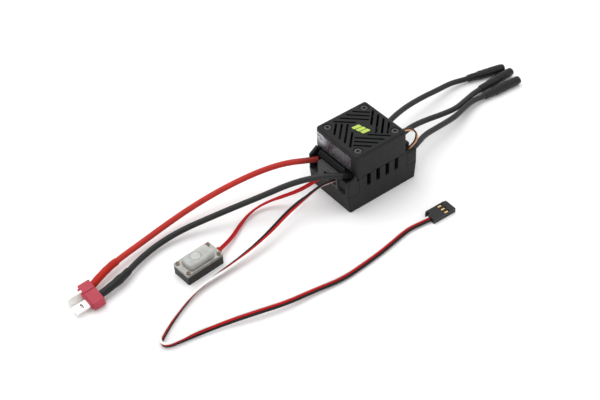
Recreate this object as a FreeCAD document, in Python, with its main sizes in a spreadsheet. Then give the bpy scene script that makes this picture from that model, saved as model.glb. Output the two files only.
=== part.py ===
import FreeCAD, Part
import math
import os
import Sketcher
from FreeCAD import Placement, Rotation, Vector

# Fan-cooled brushless motor controller with battery plug, switch, receiver lead and motor sockets.
# Frame: +Z up, +X towards the motor leads, -X towards the battery leads; the origin is the centre
# of the housing's underside. All lengths are millimetres.

doc = FreeCAD.newDocument("speed_controller")
sheet = doc.addObject("Spreadsheet::Sheet", "dims")

DIMS = [
    ("body_length", 43.5), ("body_width", 32.6), ("tray_height", 10.2), ("side_height", 19.8),
    ("end_top", 19.2), ("wall", 1.6), ("end_wall", 1.75), ("floor_thick", 1.6),
    ("return_in", 15.7), ("return_out", 15.7), ("return_gap", 0.2), ("body_flare", 1.0),
    ("slot_width", 2.5), ("slot_bottom", 12.5),
    ("fan_centre", -1.0), ("screw_half", 12.0), ("boss_radius", 2.2), ("boss_top", 9.8),
    ("foot_radius", 3.0), ("foot_top", 3.0), ("pilot_radius", 1.15),
    ("cover_length", 32.4), ("cover_bottom", 20.1), ("cover_top", 34.0), ("cover_wall", 0.9),
    ("cover_roof", 1.5), ("cover_corner", 1.5), ("recess_radius", 2.35), ("recess_depth", 1.2),
    ("grille_width", 1.15), ("grille_pitch", 2.93), ("grille_first", 4.4), ("grille_back", 2.5),
    ("grille_start", 3.7), ("grille_limit", 13.3),
    ("notch_inner", 8.3), ("notch_outer", 14.7), ("notch_near", 13.9), ("notch_floor", 10.6),
    ("motor_pitch", 11.6), ("motor_exit", 14.5), ("motor_notch", 1.7),
    ("lead_radius", 1.55), ("sleeve_radius", 1.95), ("sleeve_bore", 1.6),
    ("bullet_radius", 2.2), ("bullet_bore", 1.75), ("bullet_depth", 12.0), ("shrink_radius", 2.6),
    ("fan_size", 29.2), ("fan_bottom", 24.0), ("fan_top", 31.6), ("fan_bore", 13.5),
    ("rotor_radius", 13.1), ("hub_radius", 6.2), ("shaft_radius", 1.0), ("bearing_bore", 1.03),
    ("board_thick", 1.2), ("power_thick", 1.6), ("control_z", 3.0), ("power_z", 6.6),
    ("sink_bottom", 9.8), ("sink_plate", 2.0), ("fin_top", 22.4), ("fin_thick", 1.1), ("fin_pitch", 3.0),
    ("cap_radius", 2.1), ("cap_x", -17.5), ("cap_z", 19.6),
    ("switch_length", 21.4), ("switch_width", 11.6), ("switch_height", 5.5), ("frame_thick", 0.8),
    ("switch_x", -101.58), ("switch_y", 1.2), ("switch_turn", 4.5), ("press_travel", 0.8),
    ("pad_radius", 2.7),
    ("servo_length", 14.0), ("servo_width", 7.62), ("servo_height", 2.6),
    ("servo_x", 12.35), ("servo_y", -45.3), ("servo_turn", -1.4),
    ("tee_length", 6.3), ("tee_width", 15.4), ("tee_height", 4.7), ("tee_x", -152.0), ("tee_y", 16.3),
    ("tee_z", 3.35), ("tee_pitch", -4.0), ("blade_length", 8.2), ("blade_width", 5.0), ("blade_thick", 1.1),
]
for row, (alias, value) in enumerate(DIMS, start=1):
    sheet.set("A%d" % row, alias.replace("_", " "))
    sheet.set("B%d" % row, repr(value))
    sheet.setAlias("B%d" % row, alias)
doc.recompute()


def g(alias):
    """A driving dimension, read from the sheet."""
    return float(sheet.get(alias))


class Lin:
    """A sum of sheet cells, as an expression for the document and as a starting number."""

    def __init__(self, const=0.0, **terms):
        self.text = repr(float(const))
        self.value = float(const)
        for alias, factor in terms.items():
            self.text += " + (%r) * dims.%s" % (float(factor), alias)
            self.value += factor * g(alias)


def lin(v):
    return v if isinstance(v, Lin) else Lin(v)


KEEP = []          # every sub-part that is written out: (object, node name)


def keep(obj, node):
    obj.Label = node
    KEEP.append((obj, node))
    return obj


def origin_plane(body, role):
    return [f for f in body.Origin.OriginFeatures if f.Role == role][0]


def new_sketch(body, name, role="XY_Plane", offset=0):
    sk = body.newObject("Sketcher::SketchObject", name)
    sk.AttachmentSupport = [(origin_plane(body, role), "")]
    sk.MapMode = "FlatFace"
    off = lin(offset)
    sk.AttachmentOffset = Placement(Vector(0, 0, off.value), Rotation())
    sk.setExpression("AttachmentOffset.Base.z", off.text)
    return sk


def rect(sk, tag, x0, x1, y0, y1):
    """A rectangle whose four sides are bound to the sheet."""
    x0, x1, y0, y1 = lin(x0), lin(x1), lin(y0), lin(y1)
    a, b = Vector(x0.value, y0.value, 0), Vector(x1.value, y0.value, 0)
    c, d = Vector(x1.value, y1.value, 0), Vector(x0.value, y1.value, 0)
    n = sk.GeometryCount
    for p, q in ((a, b), (b, c), (c, d), (d, a)):
        sk.addGeometry(Part.LineSegment(p, q), False)
    for i in range(4):
        sk.addConstraint(Sketcher.Constraint("Coincident", n + i, 2, n + (i + 1) % 4, 1))
    for i, kind in enumerate(("Horizontal", "Vertical", "Horizontal", "Vertical")):
        sk.addConstraint(Sketcher.Constraint(kind, n + i))
    for key, kind, line, value in (("x0", "DistanceX", 0, x0), ("y0", "DistanceY", 0, y0),
                                   ("x1", "DistanceX", 2, x1), ("y1", "DistanceY", 2, y1)):
        k = sk.addConstraint(Sketcher.Constraint(kind, -1, 1, n + line, 1, value.value))
        sk.renameConstraint(k, "%s_%s" % (tag, key))
        sk.setExpression("Constraints.%s_%s" % (tag, key), value.text)


def circle(sk, tag, x, y, r):
    x, y, r = lin(x), lin(y), lin(r)
    n = sk.addGeometry(Part.Circle(Vector(x.value, y.value, 0), Vector(0, 0, 1), r.value), False)
    for key, con, value in (("x", Sketcher.Constraint("DistanceX", -1, 1, n, 3, x.value), x),
                            ("y", Sketcher.Constraint("DistanceY", -1, 1, n, 3, y.value), y),
                            ("r", Sketcher.Constraint("Radius", n, r.value), r)):
        k = sk.addConstraint(con)
        sk.renameConstraint(k, "%s_%s" % (tag, key))
        sk.setExpression("Constraints.%s_%s" % (tag, key), value.text)


def pad(body, name, sk, length):
    f = body.newObject("PartDesign::Pad", name)
    f.Profile = sk
    ln = lin(length)
    f.Length = ln.value
    f.setExpression("Length", ln.text)
    body.Tip = f
    doc.recompute()
    return f


def pocket(body, name, sk, length=None, through=False, both=False, reverse=False, cuts=True):
    """Cuts, then compares the volume, so a pocket that points away is found."""
    before = body.Tip.Shape.Volume
    f = body.newObject("PartDesign::Pocket", name)
    f.Profile = sk
    if through:
        f.Type = "ThroughAll"
    else:
        ln = lin(length)
        f.Length = ln.value
        f.setExpression("Length", ln.text)
    f.Midplane = both
    f.Reversed = reverse
    body.Tip = f
    doc.recompute()
    after = f.Shape.Volume
    if cuts and not after < before - 1e-6:
        raise RuntimeError("%s cut nothing" % name)
    return f


def edges_where(shape, test):
    return ["Edge%d" % (i + 1) for i, e in enumerate(shape.Edges) if test(e)]


def is_vertical(e):
    a, b = e.Vertexes[0].Point, e.Vertexes[-1].Point
    return abs(a.x - b.x) < 1e-6 and abs(a.y - b.y) < 1e-6 and abs(a.z - b.z) > 1e-3


def fillet(body, name, names, radius, kind="PartDesign::Fillet"):
    base = body.Tip
    f = body.newObject(kind, name)
    f.Base = (base, names)
    r = lin(radius)
    if kind.endswith("Fillet"):
        f.Radius = r.value
        f.setExpression("Radius", r.text)
    else:
        f.Size = r.value
        f.setExpression("Size", r.text)
    body.Tip = f
    doc.recompute()
    return f


def feature(node, shape, placement=None):
    """A shape made in code from the sheet's numbers."""
    obj = doc.addObject("Part::Feature", node)
    own = shape.Placement
    obj.Shape = shape
    if placement is not None:
        obj.Placement = placement.multiply(own)
    return keep(obj, node)


def box(x0, x1, y0, y1, z0, z1):
    return Part.makeBox(x1 - x0, y1 - y0, z1 - z0, Vector(x0, y0, z0))


def cyl(x, y, z0, z1, r):
    return Part.makeCylinder(r, z1 - z0, Vector(x, y, z0), Vector(0, 0, 1))


def part_box(name, x, y, z, lx, ly, lz):
    """A Part::Box bound to the sheet."""
    b = doc.addObject("Part::Box", name)
    for prop, v in (("Length", lx), ("Width", ly), ("Height", lz)):
        v = lin(v)
        setattr(b, prop, v.value)
        b.setExpression(prop, v.text)
    x, y, z = lin(x), lin(y), lin(z)
    b.Placement = Placement(Vector(x.value, y.value, z.value), Rotation())
    b.setExpression("Placement.Base.x", x.text)
    b.setExpression("Placement.Base.y", y.text)
    b.setExpression("Placement.Base.z", z.text)
    return b


def part_cyl(name, x, y, z, r, hgt):
    c = doc.addObject("Part::Cylinder", name)
    for prop, v in (("Radius", r), ("Height", hgt)):
        v = lin(v)
        setattr(c, prop, v.value)
        c.setExpression(prop, v.text)
    x, y, z = lin(x), lin(y), lin(z)
    c.Placement = Placement(Vector(x.value, y.value, z.value), Rotation())
    c.setExpression("Placement.Base.x", x.text)
    c.setExpression("Placement.Base.y", y.text)
    c.setExpression("Placement.Base.z", z.text)
    return c


def boolean(kind, name, base, tool):
    b = doc.addObject("Part::" + kind, name)
    b.Base = base
    b.Tool = tool
    return b


# ---------------------------------------------------------------- cord tubes

def route_edges(points, radii=None):
    """Straight runs joined by tangent arcs; returns the edges and each corner's radius."""
    pts = [Vector(*p) for p in points]
    used = []
    cuts = [(pts[0], pts[0])]
    arcs = []
    for i in range(1, len(pts) - 1):
        a, b, c = pts[i - 1], pts[i], pts[i + 1]
        u, w = (a - b), (c - b)
        run = min(u.Length, w.Length)
        u.normalize()
        w.normalize()
        turn = math.pi - u.getAngle(w)
        radius = radii[i - 1] if radii else 0.45 * run / math.tan(turn / 2.0)
        back = radius * math.tan(turn / 2.0)
        p, q = b + u * back, b + w * back
        bis = (u + w)
        bis.normalize()
        centre = b + bis * (radius / math.cos(turn / 2.0))
        mid = centre - bis * radius
        arcs.append((p, mid, q))
        cuts.append((p, q))
        used.append((radius, math.degrees(turn)))
    cuts.append((pts[-1], pts[-1]))
    edges = []
    for i in range(len(pts) - 1):
        start, end = cuts[i][1], cuts[i + 1][0]
        edges.append(Part.LineSegment(start, end).toShape())
        if i < len(arcs):
            edges.append(Part.Arc(*arcs[i]).toShape())
    return edges, used


def tube(points, radius, name, radii=None, quiet=False):
    edges, used = route_edges(points, radii)
    wire = Part.Wire(edges)
    start = Vector(*points[0])
    along = Vector(*points[1]) - start
    prof = Part.Wire([Part.makeCircle(radius, start, along)])
    solid = wire.makePipeShell([prof], True, True, 2)
    if solid.Volume < 0:
        solid.reverse()
    expect = math.pi * radius * radius * wire.Length
    if abs(solid.Volume / expect - 1.0) > 0.01 or not solid.isValid():
        raise RuntimeError("tube %s is not its section times its length" % name)
    if not quiet:
        print("%-22s length %6.1f  radii %s" % (name, wire.Length, " ".join("%.1f" % r for r, t in used)))
    return solid, used


# ---------------------------------------------------------------- housing

base = doc.addObject("PartDesign::Body", "base_housing")
sk = new_sketch(base, "tray_outline")
rect(sk, "o", Lin(body_length=-0.5, body_flare=-1), Lin(body_length=0.5, body_flare=1),
     Lin(body_width=-0.5), Lin(body_width=0.5))
pad(base, "tray", sk, Lin(tray_height=1))
# The tray's ends lean out towards the top by the flare.
half_l, half_w, flare = g("body_length") / 2, g("body_width") / 2, g("body_flare")
sk = new_sketch(base, "end_lean", role="XZ_Plane")
for i in (-1, 1):
    ring = [Vector(i * half_l, 0, 0), Vector(i * (half_l + flare), g("tray_height"), 0),
            Vector(i * (half_l + 3), g("tray_height") + 1, 0), Vector(i * (half_l + 3), -1, 0),
            Vector(i * (half_l - flare / g("tray_height")), -1, 0)]
    for p, q in zip(ring, ring[1:] + ring[:1]):
        sk.addGeometry(Part.LineSegment(p, q), False)
        sk.addConstraint(Sketcher.Constraint("Block", sk.GeometryCount - 1))
pocket(base, "end_lean_cut", sk, through=True, both=True)
sk = new_sketch(base, "sides_outline", offset=Lin(tray_height=1))
rect(sk, "o", Lin(return_in=-1), Lin(return_out=1), Lin(body_width=-0.5), Lin(body_width=0.5))
pad(base, "sides", sk, Lin(side_height=1, tray_height=-1))
sk = new_sketch(base, "cavity_outline", offset=Lin(side_height=1))
rect(sk, "o", Lin(body_length=-0.5, wall=1), Lin(body_length=0.5, wall=-1),
     Lin(body_width=-0.5, wall=1), Lin(body_width=0.5, wall=-1))
pocket(base, "cavity", sk, Lin(side_height=1, floor_thick=-1))
sk = new_sketch(base, "air_slots", role="XZ_Plane")
for i, sx in enumerate((-9.5, -3.5, 2.6, 8.6)):
    rect(sk, "s%d" % i, Lin(sx, slot_width=-0.5), Lin(sx, slot_width=0.5), Lin(slot_bottom=1), Lin(1.0, side_height=1))
pocket(base, "air_slot_cut", sk, through=True, both=True)
sk = new_sketch(base, "boss_feet", offset=Lin(floor_thick=1))
corners = [(-1, -1), (1, -1), (1, 1), (-1, 1)]
for i, (a, b) in enumerate(corners):
    circle(sk, "c%d" % i, Lin(fan_centre=1, screw_half=a), Lin(screw_half=b), Lin(foot_radius=1))
pad(base, "feet", sk, Lin(foot_top=1, floor_thick=-1))
sk = new_sketch(base, "boss_outline", offset=Lin(foot_top=1))
for i, (a, b) in enumerate(corners):
    circle(sk, "c%d" % i, Lin(fan_centre=1, screw_half=a), Lin(screw_half=b), Lin(boss_radius=1))
pad(base, "bosses", sk, Lin(boss_top=1, foot_top=-1))
sk = new_sketch(base, "pilot_outline", offset=Lin(boss_top=1))
for i, (a, b) in enumerate(corners):
    circle(sk, "c%d" % i, Lin(fan_centre=1, screw_half=a), Lin(screw_half=b), Lin(pilot_radius=1))
pocket(base, "pilots", sk, Lin(6.6))
names = edges_where(base.Tip.Shape, lambda e: e.BoundBox.ZLength > 9 and e.BoundBox.YLength < 1e-6
                    and abs(abs(e.Vertexes[0].Y) - half_w) < 1e-4
                    and max(abs(e.BoundBox.XMin), abs(e.BoundBox.XMax)) > half_l - 0.01)
fillet(base, "tray_corners", names, 1.2)
names = edges_where(base.Tip.Shape, lambda e: e.BoundBox.ZMax < 1e-6 and
                    (e.BoundBox.XMax > half_l - 1.3 or e.BoundBox.XMin < -half_l + 1.3 or
                     e.BoundBox.YMax > half_w - 0.1 or e.BoundBox.YMin < -half_w + 0.1))
fillet(base, "bottom_edge", names, 0.3, "PartDesign::Chamfer")
keep(base, "base_housing")


def end_wall(node, sign, reach, ears=False):
    """U-shaped end wall that stands on the tray's end and wraps round both corners.

    With ears, the tops of its two side returns slope up towards the cover."""
    body = doc.addObject("PartDesign::Body", node)
    sk = new_sketch(body, node + "_outline", offset=Lin(tray_height=1))
    x_out, x_in = Lin(body_length=0.5 * sign, body_flare=sign), Lin(return_gap=sign, **{reach: sign})
    lo, hi = (x_out, x_in) if sign < 0 else (x_in, x_out)
    rect(sk, "o", lo, hi, Lin(body_width=-0.5), Lin(body_width=0.5))
    pad(body, node + "_block", sk, Lin(end_top=1, tray_height=-1))
    far = half_l + flare
    names = edges_where(body.Tip.Shape, lambda e: is_vertical(e) and abs(abs(e.Vertexes[0].X) - far) < 1e-4
                        and abs(abs(e.Vertexes[0].Y) - half_w) < 1e-4)
    fillet(body, node + "_corners", names, 1.4)
    names = edges_where(body.Tip.Shape, lambda e: e.BoundBox.ZMin > g("end_top") - 1e-5
                        and e.BoundBox.XLength < 1e-5 and abs(abs(e.Vertexes[0].X) - far) < 1e-4)
    fillet(body, node + "_top_edge", names, 1.1)
    names = edges_where(body.Tip.Shape, lambda e: e.BoundBox.ZMax < g("tray_height") + 1e-5 and
                        not (e.BoundBox.XLength < 1e-5 and abs(e.Vertexes[0].X) < far - 2))
    fillet(body, node + "_seam", names, 0.25, "PartDesign::Chamfer")
    if ears:
        sk = new_sketch(body, node + "_ears", role="XZ_Plane")
        ring = [Vector(sign * (far - 0.55), g("end_top") - 0.9, 0), Vector(sign * 17.3, 21.8, 0),
                Vector(sign * 17.3, g("end_top") - 0.9, 0)]
        for p, q in zip(ring, ring[1:] + ring[:1]):
            sk.addGeometry(Part.LineSegment(p, q), False)
            sk.addConstraint(Sketcher.Constraint("Block", sk.GeometryCount - 1))
        ear = pad(body, node + "_ear", sk, Lin(body_width=1))
        ear.Midplane = True
        doc.recompute()
        sk = new_sketch(body, node + "_between_ears", offset=Lin(4.0, end_top=1))
        rect(sk, "e", Lin(-23.5) if sign < 0 else Lin(15.0), Lin(-15.0) if sign < 0 else Lin(23.5),
             Lin(body_width=-0.5, wall=1), Lin(body_width=0.5, wall=-1))
        pocket(body, node + "_between", sk, Lin(4.0))
    sk = new_sketch(body, node + "_inside", offset=Lin(1.0, end_top=1))
    wall_in = Lin(body_length=0.5 * sign, end_wall=-1.0 * sign)
    over = Lin(-1.0 * sign, **{reach: sign})
    lo, hi = (wall_in, over) if sign < 0 else (over, wall_in)
    rect(sk, "i", lo, hi, Lin(body_width=-0.5, wall=1), Lin(body_width=0.5, wall=-1))
    pocket(body, node + "_hollow", sk, through=True)
    return body


wall_in_body = end_wall("input_end_wall", -1, "return_in", ears=True)
# Two open-topped notches for the battery leads and a window for the signal leads. They are drawn on
# the YZ plane and cut through the end wall only.
sk = new_sketch(wall_in_body, "lead_notches", role="YZ_Plane", offset=Lin(-2.0, body_length=-0.5))
rect(sk, "a", Lin(notch_inner=1), Lin(notch_outer=1), Lin(notch_floor=1), Lin(1.0, end_top=1))
rect(sk, "b", Lin(notch_near=-1), Lin(0.7, notch_inner=-1), Lin(notch_floor=1), Lin(1.0, end_top=1))
rect(sk, "c", Lin(-6.0), Lin(3.2), Lin(12.5), Lin(16.4))
pocket(wall_in_body, "lead_notch_cut", sk, Lin(2.0, end_wall=1), reverse=True)
names = edges_where(wall_in_body.Tip.Shape, lambda e: e.BoundBox.XLength > 1.5 and e.BoundBox.YLength < 1e-6
                    and e.BoundBox.ZLength < 1e-6 and abs(e.BoundBox.ZMin - g("notch_floor")) < 1e-4
                    and e.BoundBox.XMax < -19.9)
fillet(wall_in_body, "notch_corners", names, 1.6)
keep(wall_in_body, "input_end_wall")

wall_out_body = end_wall("output_end_wall", 1, "return_out")
sk = new_sketch(wall_out_body, "motor_notches", role="YZ_Plane", offset=Lin(2.0, body_length=0.5))
for i, k in enumerate((-1, 0, 1)):
    rect(sk, "n%d" % i, Lin(motor_pitch=k, motor_notch=-1), Lin(motor_pitch=k, motor_notch=1),
         Lin(motor_exit=1, motor_notch=-1), Lin(1.0, end_top=1))
pocket(wall_out_body, "motor_notch_cut", sk, Lin(2.0, end_wall=1))
names = edges_where(wall_out_body.Tip.Shape, lambda e: e.BoundBox.XLength > 1.5 and e.BoundBox.YLength < 1e-6
                    and e.BoundBox.ZLength < 1e-6 and abs(e.BoundBox.ZMin - (g("motor_exit") - g("motor_notch"))) < 1e-4
                    and e.BoundBox.XMin > 19.9)
fillet(wall_out_body, "motor_notch_round", names, 1.55)
keep(wall_out_body, "output_end_wall")

# ---------------------------------------------------------------- fan cover

cover = doc.addObject("PartDesign::Body", "fan_cover")
cl = g("cover_length") / 2
sk = new_sketch(cover, "cover_outline", offset=Lin(cover_bottom=1))
rect(sk, "o", Lin(fan_centre=1, cover_length=-0.5), Lin(fan_centre=1, cover_length=0.5),
     Lin(body_width=-0.5), Lin(body_width=0.5))
pad(cover, "cover_block", sk, Lin(cover_top=1, cover_bottom=-1))
sk = new_sketch(cover, "cover_inside", offset=Lin(cover_bottom=1))
rect(sk, "i", Lin(fan_centre=1, cover_length=-0.5, cover_wall=1), Lin(fan_centre=1, cover_length=0.5, cover_wall=-1),
     Lin(body_width=-0.5, cover_wall=1), Lin(body_width=0.5, cover_wall=-1))
pocket(cover, "cover_hollow", sk, Lin(cover_top=1, cover_bottom=-1, cover_roof=-1), reverse=True)
inner_x = cl - g("cover_wall")
names = edges_where(cover.Tip.Shape, lambda e: is_vertical(e)
                    and abs(abs(e.Vertexes[0].X - g("fan_centre")) - inner_x) < 1e-4
                    and abs(abs(e.Vertexes[0].Y) - (half_w - g("cover_wall"))) < 1e-4)
fillet(cover, "inner_corners", names, Lin(cover_corner=1, cover_wall=-1))
names = edges_where(cover.Tip.Shape, lambda e: is_vertical(e)
                    and abs(abs(e.Vertexes[0].X - g("fan_centre")) - cl) < 1e-4
                    and abs(abs(e.Vertexes[0].Y) - half_w) < 1e-4)
fillet(cover, "cover_corners", names, Lin(cover_corner=1))
# Opening under the label, where the sleeved capacitors pass below the wall.
sk = new_sketch(cover, "cap_opening", role="YZ_Plane", offset=Lin(-1.0, fan_centre=1, cover_length=-0.5))
rect(sk, "w", Lin(-13.0), Lin(13.6), Lin(-1.0, cover_bottom=1), Lin(22.25))
pocket(cover, "cap_opening_cut", sk, Lin(1.6, cover_wall=1), reverse=True)
# Screw posts under the roof and the recesses above them.
sk = new_sketch(cover, "post_outline", offset=Lin(fan_top=1))
for i, (a, b) in enumerate(corners):
    circle(sk, "p%d" % i, Lin(fan_centre=1, screw_half=a), Lin(screw_half=b), Lin(2.9))
pad(cover, "posts", sk, Lin(0.1, cover_top=1, cover_roof=-1, fan_top=-1))
sk = new_sketch(cover, "recess_outline", offset=Lin(cover_top=1))
for i, (a, b) in enumerate(corners):
    circle(sk, "q%d" % i, Lin(fan_centre=1, screw_half=a), Lin(screw_half=b), Lin(recess_radius=1))
pocket(cover, "recesses", sk, Lin(recess_depth=1))
sk = new_sketch(cover, "screw_holes", offset=Lin(cover_top=1))
for i, (a, b) in enumerate(corners):
    circle(sk, "h%d" % i, Lin(fan_centre=1, screw_half=a), Lin(screw_half=b), Lin(1.25))
pocket(cover, "screw_hole_cut", sk, Lin(4.0))
# Hole for the fan wires in the output wall.
sk = new_sketch(cover, "wire_hole", role="YZ_Plane", offset=Lin(1.0, fan_centre=1, cover_length=0.5))
circle(sk, "w", Lin(-11.7), Lin(31.25), Lin(1.35))
pocket(cover, "wire_hole_cut", sk, Lin(2.2, cover_wall=1))
# Pinwheel grille: four families of diagonal slots, each turned a quarter from the last.
gsk = new_sketch(cover, "grille", offset=Lin(cover_top=1))
gx0, gy0 = 0.3 + g("fan_centre"), -0.2
r2 = math.sqrt(0.5)
hw = g("grille_width") / 2
for quarter in range(4):
    q = Rotation(Vector(0, 0, 1), 90.0 * quarter)
    for k in range(4):
        off = g("grille_first") + k * g("grille_pitch")
        s0 = g("grille_start") if k == 0 else -g("grille_back")
        s1 = -off + g("grille_limit") / r2
        c0 = Vector((-off + s0) * r2, (-off - s0) * r2, 0)
        c1 = Vector((-off + s1) * r2, (-off - s1) * r2, 0)
        d = (c1 - c0)
        d.normalize()
        nrm = Vector(-d.y, d.x, 0)
        ring = [c0 + nrm * hw, c0 - nrm * hw, c1 - nrm * hw, c1 + nrm * hw]
        ring = [q.multVec(p) + Vector(gx0, gy0, 0) for p in ring]
        e0, e1 = q.multVec(c0 - d * hw) + Vector(gx0, gy0, 0), q.multVec(c1 + d * hw) + Vector(gx0, gy0, 0)
        gsk.addGeometry(Part.Arc(ring[0], e0, ring[1]), False)
        gsk.addGeometry(Part.LineSegment(ring[1], ring[2]), False)
        gsk.addGeometry(Part.Arc(ring[2], e1, ring[3]), False)
        gsk.addGeometry(Part.LineSegment(ring[3], ring[0]), False)
        gsk.addConstraint([Sketcher.Constraint("Block", gsk.GeometryCount - j) for j in (4, 3, 2, 1)])
pocket(cover, "grille_cut", gsk, Lin(0.05, cover_roof=1))
names = edges_where(cover.Tip.Shape, lambda e: abs(e.BoundBox.ZMin - g("cover_top")) < 1e-5 and
                    abs(e.BoundBox.ZMax - g("cover_top")) < 1e-5 and
                    (abs(e.BoundBox.YMax - half_w) < 1e-3 or abs(e.BoundBox.YMin + half_w) < 1e-3 or
                     abs(e.BoundBox.XMax - g("fan_centre") - cl) < 1e-3 or abs(e.BoundBox.XMin - g("fan_centre") + cl) < 1e-3))
fillet(cover, "rim_round", names, 1.2)
keep(cover, "fan_cover")

fx = g("fan_centre")
sh = g("screw_half")
posts = [(fx + a * sh, b * sh) for a, b in corners]

# Four long screws through cover, fan and heatsink into the tray's bosses.
head_z = g("cover_top") - g("recess_depth")
screws = []
for x, y in posts:
    s = cyl(x, y, head_z, head_z + 0.95, 1.9).fuse(cyl(x, y, 4.2, head_z + 0.1, 1.1))
    hexa = Part.Face(Part.makePolygon([Vector(x + 0.95 * math.cos(math.radians(60 * i)),
                                              y + 0.95 * math.sin(math.radians(60 * i)), head_z + 0.25)
                                       for i in range(7)]))
    s = s.cut(hexa.extrude(Vector(0, 0, 2)))
    screws.append(s.removeSplitter())
feature("cover_screws", Part.makeCompound(screws))

# Blank label strip that wraps the cover's far input corner.
lx = fx - cl
rc = g("cover_corner")
cy = half_w - rc
t0, t1 = 0.02, 0.16
ang = math.radians(50)


def arc_pt(r, a):
    return Vector(lx + rc - r * math.cos(a), cy + r * math.sin(a), 22.6)


outline = Part.Wire([
    Part.LineSegment(Vector(lx - t0, -11.9, 22.6), Vector(lx - t0, cy, 22.6)).toShape(),
    Part.Arc(arc_pt(rc + t0, 0), arc_pt(rc + t0, ang / 2), arc_pt(rc + t0, ang)).toShape(),
    Part.LineSegment(arc_pt(rc + t0, ang), arc_pt(rc + t1, ang)).toShape(),
    Part.Arc(arc_pt(rc + t1, ang), arc_pt(rc + t1, ang / 2), arc_pt(rc + t1, 0)).toShape(),
    Part.LineSegment(Vector(lx - t1, cy, 22.6), Vector(lx - t1, -11.9, 22.6)).toShape(),
    Part.LineSegment(Vector(lx - t1, -11.9, 22.6), Vector(lx - t0, -11.9, 22.6)).toShape()])
feature("label_plate", Part.Face(outline).extrude(Vector(0, 0, 8.9)))

# Thin plain badge in the middle of the roof: three slanted bars.
top = g("cover_top")
bars = []
for k in (-1, 0, 1):
    ring = [Vector(k * 2.7 - 1.9, -2.1, top + 0.01), Vector(k * 2.7 + 0.3, -2.1, top + 0.01),
            Vector(k * 2.7 + 1.9, 2.1, top + 0.01), Vector(k * 2.7 - 0.3, 2.1, top + 0.01)]
    bar = Part.Face(Part.makePolygon(ring + ring[:1])).extrude(Vector(0, 0, 0.25))
    bars.append(bar.makeFillet(0.45, [e for e in bar.Edges if is_vertical(e)]))
feature("top_badge", Part.makeCompound(bars), Placement(Vector(-1.4, -0.35, 0), Rotation(Vector(0, 0, 1), -76)))

# ---------------------------------------------------------------- fan

fs, fb, ft = g("fan_size") / 2, g("fan_bottom"), g("fan_top")
frame = box(fx - fs, fx + fs, -fs, fs, fb, ft)
frame = frame.makeFillet(3.1, [e for e in frame.Edges if is_vertical(e)])
frame = frame.cut(cyl(fx, 0, fb - 1, ft + 1, g("fan_bore")))
for x, y in posts:
    frame = frame.cut(cyl(x, y, fb - 1, ft + 1, 1.25))
# Hub plate, its four struts and the tube that holds the bearing.
frame = frame.fuse(cyl(fx, 0, fb, fb + 0.9, 6.4))
for a in (20, 110, 200, 290):
    strut = box(5.8, 13.9, -0.7, 0.7, fb, fb + 0.9)
    strut.rotate(Vector(0, 0, 0), Vector(0, 0, 1), a)
    strut.translate(Vector(fx, 0, 0))
    frame = frame.fuse(strut)
frame = frame.fuse(cyl(fx, 0, fb + 0.85, fb + 5.0, 2.4))
frame = frame.cut(cyl(fx, 0, fb + 0.4, fb + 5.1, 1.7)).removeSplitter()
feature("fan_frame", frame)
bearing = cyl(fx, 0, fb + 0.4, fb + 5.0, 1.7).cut(cyl(fx, 0, fb + 0.3, fb + 5.1, g("bearing_bore")))
feature("fan_bearing", bearing)
coil = cyl(fx, 0, fb + 1.3, fb + 4.4, 4.9).cut(cyl(fx, 0, fb + 1.2, fb + 4.5, 2.4))
for i in range(4):
    notch = box(3.4, 5.2, -0.6, 0.6, fb + 1.2, fb + 4.5)
    notch.rotate(Vector(0, 0, 0), Vector(0, 0, 1), 45 + 90 * i)
    notch.translate(Vector(fx, 0, 0))
    coil = coil.cut(notch)
feature("fan_coil", coil)

# Rotor: a cup over the coil and nine tilted blades.
hub_r, rot_r = g("hub_radius"), g("rotor_radius")
cup = cyl(fx, 0, fb + 1.4, ft - 0.5, hub_r).cut(cyl(fx, 0, fb + 1.3, fb + 5.6, hub_r - 0.8))
top_edge = [e for e in cup.Edges if abs(e.BoundBox.ZMin - (ft - 0.5)) < 1e-6]
cup = cup.makeFillet(0.5, top_edge)
rotor = cup
z0, z1 = fb + 1.5, ft - 0.9
for i in range(9):
    blade = box(hub_r - 0.4, rot_r + 1.0, -0.28, 0.28, -5.5, 5.5)
    blade.rotate(Vector(0, 0, 0), Vector(1, 0, 0), 54)
    blade.translate(Vector(0, 0, (z0 + z1) / 2))
    blade = blade.common(box(0, rot_r + 2, -9, 9, z0, z1))
    blade.rotate(Vector(0, 0, 0), Vector(0, 0, 1), 360.0 / 9 * i + 12)
    blade.translate(Vector(fx, 0, 0))
    rotor = rotor.fuse(blade)
rotor = rotor.common(cyl(fx, 0, fb + 1.3, ft, rot_r))
rotor = rotor.cut(cyl(fx, 0, fb + 5.0, fb + 6.3, g("shaft_radius"))).removeSplitter()
feature("fan_rotor", rotor)
feature("fan_shaft", cyl(fx, 0, fb + 0.55, fb + 6.3, g("shaft_radius")))

# ---------------------------------------------------------------- heatsink and boards

sink = doc.addObject("PartDesign::Body", "heatsink")
sk = new_sketch(sink, "sink_outline", offset=Lin(sink_bottom=1))
rect(sk, "o", Lin(-14.2, fan_centre=1), Lin(14.2, fan_centre=1), Lin(-14.3), Lin(14.3))
pad(sink, "sink_base", sk, Lin(sink_plate=1))
sk = new_sketch(sink, "first_fin", offset=Lin(sink_bottom=1, sink_plate=1))
rect(sk, "f", Lin(fan_centre=1, fin_pitch=-3, fin_thick=-0.5), Lin(fan_centre=1, fin_pitch=-3, fin_thick=0.5),
     Lin(-13.9), Lin(13.9))
fin = pad(sink, "fin", sk, Lin(fin_top=1, sink_bottom=-1, sink_plate=-1))
row_of = sink.newObject("PartDesign::LinearPattern", "fin_row")
row_of.Originals = [fin]
row_of.Direction = (sk, ["H_Axis"])
row_of.Length = 6 * g("fin_pitch")
row_of.setExpression("Length", "6 * dims.fin_pitch")
row_of.Occurrences = 7
before = sink.Tip.Shape.Volume
sink.Tip = row_of
doc.recompute()
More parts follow.
